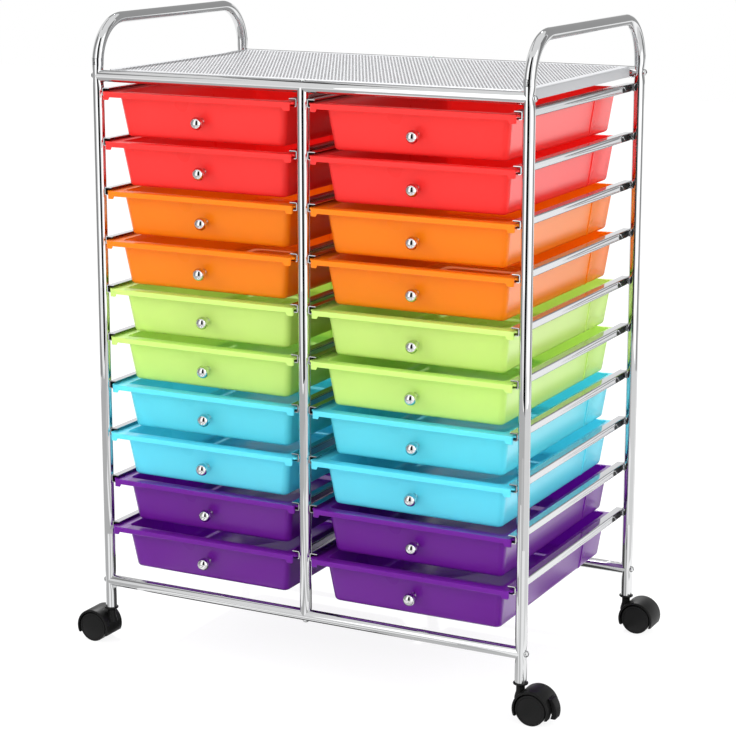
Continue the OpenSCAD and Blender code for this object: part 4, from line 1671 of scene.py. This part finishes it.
@dataclass
class Caster:
    """One twin-wheel caster with its stem and the socket in the post; some have a brake lever."""

    paint: Paint
    side: Side
    end: End
    braked: bool
    wheel_r: float = 21 * MM
    hood_gap: float = 1.5 * MM
    hood_t: float = 3 * MM
    hood_w: float = 39 * MM
    hood_edge: float = -10 * MM
    hood_steps: int = 40
    round_r: float = 1.4 * MM
    neck_r: float = 5.75 * MM
    neck_low: float = 8 * MM
    neck_flare: float = 2.4 * MM
    neck_ease: float = 0.5 * MM
    stem_bore: float = 3.2 * MM
    web_t: float = 6 * MM
    web_reach: float = 6 * MM
    web_into: float = 0.4 * MM
    boss_r: float = 6 * MM
    boss_half: float = 6 * MM
    wheel_in: float = 6.5 * MM
    wheel_out: float = 19 * MM
    rim_t: float = 3.5 * MM
    disc_t: float = 2 * MM
    hub_r: float = 5 * MM
    tread_out_r: float = 1.6 * MM
    tread_in_r: float = 1.2 * MM
    tread_from: float = 1.9 * MM
    collar_r: float = 10 * MM
    collar_t: float = 1.8 * MM
    collar_clear: float = 0.05 * MM
    washer_r: float = 5.25 * MM
    washer_t: float = 1.6 * MM
    stem_gap: float = 0.3 * MM
    pedal_w: float = 16 * MM
    pedal_gap: float = 0.8 * MM
    pedal_t: float = 1.2 * MM
    pedal_low: float = -10 * MM
    pedal_high: float = 16 * MM
    pedal_shift: Flat = (5 * MM, -1 * MM)
    pedal_steps: int = 12
    arm_w: float = 5 * MM
    arm_clear: float = 1 * MM
    arm_end_r: float = 3 * MM
    bridge_low: float = -3 * MM
    bridge_high: float = 4 * MM
    bridge_into: float = 0.5 * MM
    pin_r: float = 1.5 * MM
    pin_in: float = 3.5 * MM
    pin_deg: float = 48
    ear_r: float = 3.4 * MM
    ear_gap: float = 0.2 * MM
    ear_into: float = 0.2 * MM
    ear_deg: float = 58
    slot_deg: float = 38
    slot_clear: float = 0.5 * MM
    slot_past: float = 1 * MM
    axle_r: float = 2.5 * MM
    axle_into: float = 2 * MM
    stem_r: float = 4 * MM
    stem_up: float = 30 * MM
    spigot_r: float = 3 * MM
    spigot_low: float = 11 * MM

    def __post_init__(self) -> None:
        """Reads the caster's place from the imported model."""
        self.corner = f"{self.end.word}_{self.side.word}"
        low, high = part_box(f"caster_wheels_{self.corner}")
        self.axle = Vector(((low.x + high.x) / 2, (low.y + high.y) / 2, (low.z + high.z) / 2))
        self.swivel = Vector((self.side.value * LINES.post_x, self.end.value * LINES.post_y, 0))
        self.trail = abs(self.axle.x - self.swivel.x)
        self.hood_in = self.wheel_r + self.hood_gap
        self.hood_out = self.hood_in + self.hood_t
        self.washer_top = LINES.post_low - self.collar_t
        self.neck_top = self.washer_top - self.washer_t - self.stem_gap
        turn = Matrix.Rotation(0 if self.side is Side.RIGHT else math.pi, 4, "Z")
        self.at_wheel = Matrix.Translation(self.axle) @ turn
        self.at_stem = Matrix.Translation(self.swivel) @ turn

    def settle(self, piece: bpy.types.Object, place: Matrix, slot: str) -> bpy.types.Object:
        """Puts a piece in its place on the caster, gives it its finish and returns it."""
        piece.matrix_world = place
        self.paint.dress(piece, slot)
        return piece

    def hood_rings(self) -> list[list[Place]]:
        """The hood's rings from side to side: each goes over the outside and back inside.

        Near a side the outside is cut back and the inside lifted, by shares of the rounding.
        """
        start = math.degrees(math.asin(self.hood_edge / self.hood_out))
        rings = []
        half = self.hood_w / 2
        near = [(-half, 1.0, 0.45), (0.25 * MM - half, 0.45, 0.15), (0.8 * MM - half, 0.1, 0.0),
                (self.round_r - half, 0, 0)]
        far = [(-y, cut, lift) for y, cut, lift in reversed(near)]
        for y, cut, lift in (*near, (0, 0, 0), *far):
            outer_r = self.hood_out - cut * self.round_r
            inner_r = self.hood_in + lift * self.round_r
            outer = arc((0, 0), outer_r, 180 - start, start, self.hood_steps)
            inner_start = math.degrees(math.asin(self.hood_edge / inner_r))
            inner = arc((0, 0), inner_r, inner_start, 180 - inner_start, self.hood_steps)
            rings.append([(x, y, z) for x, z in outer + inner])
        return rings

    def hood(self, forge: Forge) -> None:
        """Adds the hood, its two side faces as strips between the outside and the inside."""
        made = forge.sleeve(self.hood_rings())
        half = len(made[0]) // 2
        for ring in (made[0], made[-1]):
            outer, inner = ring[:half], list(reversed(ring[half:]))
            forge.strip(outer, inner, closed=False)

    def web(self, forge: Forge) -> None:
        """Adds the plate between the wheels and the axle's boss."""
        radius = self.hood_in + self.web_into
        low = math.degrees(math.asin(self.hood_edge / radius))
        high = math.degrees(math.acos(self.web_reach / radius))
        outline = [*arc((0, 0), radius, 180 - low, high, 28), (self.web_reach, self.hood_edge)]
        half = self.web_t / 2
        forge.loft([[(x, y, z) for x, z in outline] for y in (-half, half)])
        turn = Matrix.Rotation(math.pi / 2, 4, "X")
        boss = [(self.boss_r, -self.boss_half), (self.boss_r, self.boss_half)]
        forge.loft(placed(turned(boss, 40), turn))

    def neck(self, forge: Forge) -> None:
        """Adds the neck on the swivel axis, which flares into the hood and the web."""
        to_wheel = Matrix.Translation((-self.trail, 0, -self.wheel_r))
        low = self.wheel_r + self.neck_low
        meet = self.wheel_r + math.sqrt(self.hood_out**2 - self.trail**2)
        flare = [(1.0, low), (0.8, meet - 3 * MM), (0.45, meet), (0.15, meet + 2.4 * MM),
                 (0.0, meet + 5 * MM)]
        ease = self.neck_ease
        profile = [(self.neck_r + self.neck_flare * share, z) for share, z in flare]
        profile += [(self.neck_r, self.neck_top - ease), (self.neck_r - ease, self.neck_top),
                    (self.stem_bore, self.neck_top)]
        forge.loft(placed(turned(profile, 48), to_wheel))

    def housing(self) -> bpy.types.Object:
        """The moulded housing: hood, web, boss and neck."""
        forge = Forge()
        self.hood(forge)
        name = f"caster_hood_{self.corner}"
        node = f"caster_housing_{self.corner}"
        piece = piece_of(forge.mesh(name, 35), name, f"caster_{self.corner}", [node])
        if self.braked:
            wedge = Forge()
            half = self.pedal_w / 2 + self.slot_clear
            near, far = self.hood_in - self.slot_past, self.hood_out + 4 * self.slot_past
            outline = arc((0, 0), near, -self.slot_deg, self.slot_deg, 8)
            outline += arc((0, 0), far, self.slot_deg, -self.slot_deg, 8)
            wedge.loft([[(x, y, z) for x, z in outline] for y in (-half, half)])
            cut_out(piece, in_scene("slot_cutter", wedge.mesh("slot_cutter")), 35)
        inner = Forge()
        self.web(inner)
        self.neck(inner)
        if self.braked:
            self.ears(inner)
        joined = inner.mesh("housing_inner", 35)
        work = bmesh.new()
        work.from_mesh(piece.data)
        work.from_mesh(joined)
        work.to_mesh(piece.data)
        work.free()
        smooth(piece.data, 35)
        return self.settle(piece, self.at_wheel, "caster_plastic")

    def pin_place(self) -> Flat:
        """The lever's pin, from the wheel's middle."""
        radius, angle = self.wheel_r - self.pin_in, math.radians(self.pin_deg)
        return (radius * math.cos(angle), radius * math.sin(angle))

    def ears(self, forge: Forge) -> None:
        """Adds the two ears that carry the lever's pin."""
        x, z = self.pin_place()
        for sign in (-1, 1):
            near, far = self.web_t / 2 + self.ear_gap, self.boss_half
            outline = arc((x, z), self.ear_r, 140, 320, 12)
            outline += arc((0, 0), self.hood_in + self.ear_into, self.slot_deg, self.ear_deg, 6)
            forge.loft([[(px, sign * y, pz) for px, pz in outline] for y in (near, far)])

    def pedal(self, forge: Forge) -> None:
        """Adds the brake's pedal: it follows the hood inside and bulges outside."""
        inner_r = self.hood_out + self.pedal_gap
        outer_r = inner_r + self.pedal_t
        shift_x, shift_z = self.pedal_shift
        low, high, steps = self.pedal_low, self.pedal_high, self.pedal_steps
        heights = [low + (high - low) * i / steps for i in range(steps + 1)]
        inner = [(math.sqrt(inner_r**2 - z**2), z) for z in heights]
        outer = [(shift_x + math.sqrt(outer_r**2 - (z - shift_z) ** 2), z) for z in heights]
        half = self.pedal_w / 2
        edges = [(-half, 0.5), (-half + 0.5 * MM, 0.12), (-half + 1.2 * MM, 0)]
        edges += [(-y, cut) for y, cut in reversed(edges)]
        rings = []
        for y, cut in edges:
            ring = [(x, y, z) for x, z in inner]
            rings.append(ring + [(x - cut * MM, y, z) for x, z in reversed(outer)])
        made = forge.sleeve(rings)
        for ring in (made[0], made[-1]):
            forge.strip(ring[:steps + 1], list(reversed(ring[steps + 1:])), closed=False)

    def lever(self) -> bpy.types.Object:
        """The brake lever: a pedal outside the hood, on an arm between the wheels."""
        forge = Forge()
        self.pedal(forge)
        x, z = self.pin_place()
        arm_out = self.wheel_r - self.arm_clear
        arm_in = arm_out - self.arm_w
        arm = [*arc((0, 0), arm_in, -3, 44, 10), *arc((x, z), self.arm_end_r, 200, 20, 10),
               *arc((0, 0), arm_out, 44, -3, 10)]
        near, far = arm_in + self.arm_clear, self.hood_out + self.pedal_gap + self.bridge_into
        low, high = self.bridge_low, self.bridge_high
        bridge = [(near, low), (far, low), (far, high), (near, high)]
        half = self.web_t / 2
        for outline in (arm, bridge):
            forge.loft([[(px, y, pz) for px, pz in outline] for y in (-half, half)])
        at_pin = Matrix.Translation((x, 0, z)) @ Matrix.Rotation(math.pi / 2, 4, "X")
        pin = [(self.pin_r, -self.boss_half), (self.pin_r, self.boss_half)]
        forge.loft(placed(turned(pin, 24), at_pin))
        name, body = f"brake_lever_{self.corner}", f"brake_{self.corner}"
        piece = piece_of(forge.mesh(name, 35), name, body, [f"caster_brake_{self.corner}"])
        return self.settle(piece, self.at_wheel, "caster_plastic")

    def wheel_profile(self) -> list[Flat]:
        """A wheel's section: radius against distance from the caster's middle."""
        face, inside = self.wheel_out, self.wheel_in
        rim = self.wheel_r - self.rim_t
        outer_r, inner_r = self.tread_out_r, self.tread_in_r
        tread = arc((self.wheel_r - outer_r, face - self.tread_from), outer_r, 80, 0, 5)
        bulge = [(TIP, 0.25), (0.5 * rim, 0.1), (0.86 * rim, -0.25), (rim - 0.3 * MM, -0.5),
                 (rim, -0.8), (rim + 0.5 * MM, -0.8), (rim + 0.7 * MM, -0.45)]
        outer = [(radius, face + out * MM) for radius, out in bulge]
        inner = arc((self.wheel_r - inner_r, inside + inner_r), inner_r, 0, -90, 4)
        deep = face - self.disc_t
        back = [(rim, inside), (rim, deep), (self.hub_r, deep), (self.hub_r, inside), (TIP, inside)]
        return outer + tread + inner + back

    def wheels(self) -> list[bpy.types.Object]:
        """The two wheels, and the axle that joins them."""
        pieces = []
        body, nodes = f"wheels_{self.corner}", [f"caster_wheels_{self.corner}"]
        for sign, word in ((-1, "near"), (1, "far")):
            forge = Forge()
            turn = Matrix.Rotation(-sign * math.pi / 2, 4, "X")
            forge.loft(placed(turned(self.wheel_profile(), 72), turn))
            name = f"wheel_{word}_{self.corner}"
            piece = piece_of(forge.mesh(name, 30), name, body, nodes)
            pieces.append(self.settle(piece, self.at_wheel, "wheel_plastic"))
        forge = Forge()
        reach = self.wheel_in + self.axle_into
        axle = [(self.axle_r, -reach), (self.axle_r, reach)]
        forge.loft(placed(turned(axle, 32), Matrix.Rotation(math.pi / 2, 4, "X")))
        name = f"axle_{self.corner}"
        piece = piece_of(forge.mesh(name), name, body, nodes)
        return [*pieces, self.settle(piece, self.at_wheel, "fastener_steel")]

    def socket(self) -> bpy.types.Object:
        """The collar under the post and the socket inside it."""
        forge = Forge()
        low, high = self.washer_top, LINES.post_low
        edge, tube = self.collar_r, LINES.tube_r + self.collar_clear
        bore = self.stem_r + self.collar_clear
        top, inside = high + 0.8 * MM, high - 0.1 * MM
        profile = [(bore, low), (edge - 0.9 * MM, low), (edge - 0.2 * MM, low + 0.5 * MM),
                   (edge, low + 1.1 * MM), (edge - 0.1 * MM, high + 0.3 * MM),
                   (edge - 0.7 * MM, top), (tube, top), (tube, inside), (bore, inside)]
        forge.loop(turned(profile, 64))
        name = f"socket_{self.corner}"
        piece = piece_of(forge.mesh(name, 35), name, "frame", ["caster_sockets"])
        return self.settle(piece, self.at_stem, "socket_plastic")

    def stem(self) -> bpy.types.Object:
        """The steel stem with its washer."""
        forge = Forge()
        low, top = self.washer_top - self.washer_t, self.washer_top
        edge, ease = self.washer_r, 0.3 * MM
        profile = [(self.spigot_r, self.wheel_r + self.spigot_low), (self.spigot_r, low),
                   (edge - ease, low), (edge, low + ease), (edge, top - ease), (edge - ease, top),
                   (self.stem_r, top), (self.stem_r, top + self.stem_up)]
        forge.loft(turned(profile, 48))
        name = f"stem_{self.corner}"
        piece = piece_of(forge.mesh(name, 35), name, "frame", ["caster_stems"])
        return self.settle(piece, self.at_stem, "fastener_steel")

    def build(self) -> list[bpy.types.Object]:
        """Builds the whole caster."""
        pieces = [self.socket(), self.stem(), self.housing(), *self.wheels()]
        if self.braked:
            pieces.append(self.lever())
        return pieces


# ---------------------------------------------------------------- studio


@dataclass(frozen=True)
class Card:
    """A curved card, standing round the tower, that only reflections see."""

    name: str
    from_deg: float
    to_deg: float
    low: float
    high: float
    radius: float
    tone: float

    def add_to(self, forge: Forge) -> None:
        """Adds the card's faces."""
        curve = arc((0, 0), self.radius, self.from_deg, self.to_deg, 16)
        low, high = (forge.ring([(x, y, z) for x, y in curve]) for z in (self.low, self.high))
        forge.strip(low, high, closed=False)


@dataclass(frozen=True)
class Sheet:
    """A level card, above the tower or on the floor, that only reflections see."""

    name: str
    height: float
    tone: float
    corners: tuple[Flat, ...]

    def add_to(self, forge: Forge) -> None:
        """Adds the card's face."""
        forge.faces.append(tuple(forge.ring([(x, y, self.height) for x, y in self.corners])))


@dataclass(frozen=True)
class Fan:
    """A level card that spreads over the floor from a post's foot; only reflections see it."""

    name: str
    side: Side
    end: End
    from_deg: float
    to_deg: float
    tone: float
    reach: float = 0.5
    height: float = 0.005

    def add_to(self, forge: Forge) -> None:
        """Adds the card's face."""
        foot = (self.side.value * LINES.post_x, self.end.value * LINES.post_y)
        line = [foot, *arc(foot, self.reach, self.from_deg, self.to_deg, 6)]
        forge.faces.append(tuple(forge.ring([(x, y, self.height) for x, y in line])))


@dataclass
class Studio:
    """The floor, the lights, the camera and the cards that the chrome reflects."""

    camera_place: Place = (1.3528, -2.6206, 1.0892)
    camera_yaw: float = -27.383
    camera_pitch: float = -11.705
    lens: float = 105.31
    film: float = 36
    sight: float = 60
    shift: float = -0.08
    floor_size: float = 14.0
    floor_glow: float = 0.86
    floor_seen: float = 0.20
    floor_soft: float = 0.78
    sky: float = 0.92
    aim: Place = (0, 0, 0.45)
    lamps: tuple[tuple[str, Place, float, float], ...] = (
        ("lamp_right", (2.6, -0.4, 1.5), 1.8, 38),
        ("lamp_left", (-2.2, -2.0, 1.8), 1.8, 30),
        ("lamp_front", (0.6, -3.4, 1.4), 1.6, 30),
    )
    sun_power: float = 2.0
    sun_deg: float = 1.5
    sun_way: Place = (0.44, -0.81, -1.0)
    cards: tuple[Card | Sheet | Fan, ...] = (
        Card("card_camera", -88, -54, 0.0, 3.2, 1.9, 0.01),
        Card("card_left", -114, -93.5, 0.2, 3.2, 1.9, 1.8),
        Card("card_right", -33, 0, 0.0, 2.6, 2.0, 2.0),
        Card("card_right_grey", 15, 42, 0.0, 2.6, 2.0, 0.3),
        Card("card_left_grey", 188, 228, 0.0, 2.6, 2.0, 0.35),
        Card("card_rear", 84, 150, 1.45, 3.5, 2.2, 0.42),
        Card("card_rear_right", 45, 84, 0.64, 3.5, 2.2, 0.42),
        Sheet("card_over", 3.0, 0.1, ((-1.2, -0.82), (-0.9, -0.75), (-1.25, 0.74), (-1.55, 0.67))),
        Sheet("card_floor", 0.002, 1.35, ((0.36, -0.24), (2.9, 4.9), (2.22, 4.9), (0.312, 0.04))),
        Sheet("card_floor_mid", 0.002, 1.1,
              ((0.312, 0.045), (2.215, 4.9), (1.95, 4.9), (0.31, 0.35))),
        Sheet("card_floor_right", 0.002, 0.95,
              ((0.37, -0.25), (1.35, -1.8), (3.2, -0.6), (3.2, 4.9))),
        Sheet("card_floor_rear", 0.002, 0.45,
              ((0.36, 0.55), (1.42, 3.5), (0.2, 3.0), (-0.5, 1.7), (-0.3, 1.0))),
        # painted shadow: a dark sheet under the tower, where the floor is in its shade, that only
        # reflections see
        Sheet("card_under", 0.003, 0.08,
              ((-0.31, -0.2), (0.31, -0.2), (0.31, 0.19), (-0.31, 0.19))),
        Sheet("card_floor_front", 0.002, 0.62,
              ((-1.8, -0.24), (0.32, -0.24), (1.3, -1.8), (-1.8, -1.8))),
        Fan("fan_right_1", Side.RIGHT, End.FRONT, -122, -106, 1.25, 0.95),
        Fan("fan_right_2", Side.RIGHT, End.FRONT, -106, -74, 0.75, 1.25),
        Fan("fan_right_3", Side.RIGHT, End.FRONT, -74, -24, 1.2, 0.7),
        Fan("fan_left_1", Side.LEFT, End.FRONT, -99, -62, 1.25),
        Fan("fan_left_2", Side.LEFT, End.FRONT, -62, -43, 0.6),
        Fan("fan_left_3", Side.LEFT, End.FRONT, -43, -18, 1.25),
        Fan("fan_rear_1", Side.RIGHT, End.REAR, -122, -84, 0.7),
        Fan("fan_rear_2", Side.RIGHT, End.REAR, -84, -70, 0.35),
        Fan("fan_rear_3", Side.RIGHT, End.REAR, -70, -30, 1.25),
    )

    def floor(self) -> bpy.types.Object:
        """The pale floor: it keeps the tower's shadow and meets the white behind it."""
        tree = ShaderTree.named("floor_white")
        seen = tree.seen()
        grey = tree.blend(seen, (self.floor_soft,) * 3, (self.floor_seen,) * 3)
        matt = tree.add("ShaderNodeBsdfDiffuse", {}, {"Color": grey})
        light = {"Color": WHITE, "Strength": seen * self.floor_glow}
        glow = tree.add("ShaderNodeEmission", {}, light)
        both = tree.add("ShaderNodeAddShader", {}, {0: matt.outputs[0], 1: glow.outputs[0]})
        forge = Forge()
        half = self.floor_size / 2
        corners = ((-half, -half), (half, -half), (half, half), (-half, half))
        forge.faces.append(tuple(forge.ring([(x, y, 0) for x, y in corners])))
        return self.stand("floor", forge, tree.finish(both.outputs[0]))

    def stand(self, name: str, forge: Forge, material: bpy.types.Material) -> bpy.types.Object:
        """Puts a mesh in the studio, as no part of the tower."""
        piece = in_scene(name, forge.mesh(name))
        piece.data.materials.append(material)
        return piece

    def card(self, card: Card | Sheet | Fan) -> bpy.types.Object:
        """One card, seen by glossy rays only."""
        forge = Forge()
        card.add_to(forge)
        tree = ShaderTree.named(card.name)
        glow = tree.add("ShaderNodeEmission", {}, {"Color": WHITE, "Strength": card.tone})
        piece = self.stand(card.name, forge, tree.finish(glow.outputs[0]))
        piece.visible_camera = piece.visible_diffuse = False
        piece.visible_shadow = piece.visible_transmission = False
        return piece

    def lamp(self, name: str, place: Place, size: float, power: float) -> bpy.types.Object:
        """One soft square lamp that faces the tower and that reflections don't show.

        Args:
            name: the lamp's name.
            place: where it hangs.
            size: its side.
            power: its power in watts.

        Returns:
            The lamp.
        """
        data = bpy.data.lights.new(name, "AREA")
        data.size = size
        data.energy = power
        lamp = in_scene(name, data)
        lamp.location = place
        way = Vector(self.aim) - Vector(place)
        lamp.rotation_euler = way.to_track_quat("-Z", "Y").to_euler()
        lamp.visible_glossy = False
        return lamp

    def lights(self) -> None:
        """A large soft lamp on each side, a front fill, and a small distant one from above."""
        for name, place, size, power in self.lamps:
            self.lamp(name, place, size, power)
        sun = bpy.data.lights.new("lamp_top", "SUN")
        sun.energy = self.sun_power
        sun.angle = math.radians(self.sun_deg)
        top = in_scene("lamp_top", sun)
        top.rotation_euler = Vector(self.sun_way).to_track_quat("-Z", "Y").to_euler()

    def world(self) -> None:
        """White behind the tower and in reflections, and a level soft light."""
        world = bpy.data.worlds.new("studio")
        bpy.context.scene.world = world
        tree = ShaderTree(world)
        strength = tree.seen() * (1 - self.sky) + self.sky
        light = tree.add("ShaderNodeBackground", {}, {"Color": WHITE, "Strength": strength})
        tree.finish(light.outputs[0])

    def camera(self) -> None:
        """The camera at the photograph's place, with its picture plane kept by the shift."""
        data = bpy.data.cameras.new("camera")
        data.lens = self.lens
        data.sensor_width = self.film
        data.shift_y = self.shift
        data.clip_end = self.sight
        camera = in_scene("camera", data)
        camera.location = self.camera_place
        pitch, yaw = math.radians(90 + self.camera_pitch), math.radians(-self.camera_yaw)
        camera.rotation_euler = (pitch, 0, yaw)
        bpy.context.scene.camera = camera

    def build(self) -> None:
        """Sets up the studio."""
        bpy.context.scene.view_settings.view_transform = "Standard"
        self.floor()
        for card in self.cards:
            self.card(card)
        self.lights()
        self.world()
        self.camera()


def main() -> None:
    """Builds the tower piece by piece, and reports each."""
    logging.basicConfig(level=logging.INFO, format="%(name)s: %(message)s")
    paint = Paint()
    builders: list[Any] = [TubeFrame(paint), Bolts(paint), Runners(paint), TopShelf(paint),
                           Drawers(paint)]
    for end in End:
        for side in Side:
            braked = (end is End.FRONT) == (side is Side.RIGHT)
            builders.append(Caster(paint, side, end, braked))
    for builder in builders:
        for piece in builder.build():
            LOG.info("%s: %d faces", piece.name, len(piece.data.polygons))
    Studio().build()


if __name__ == "__main__":
    main()
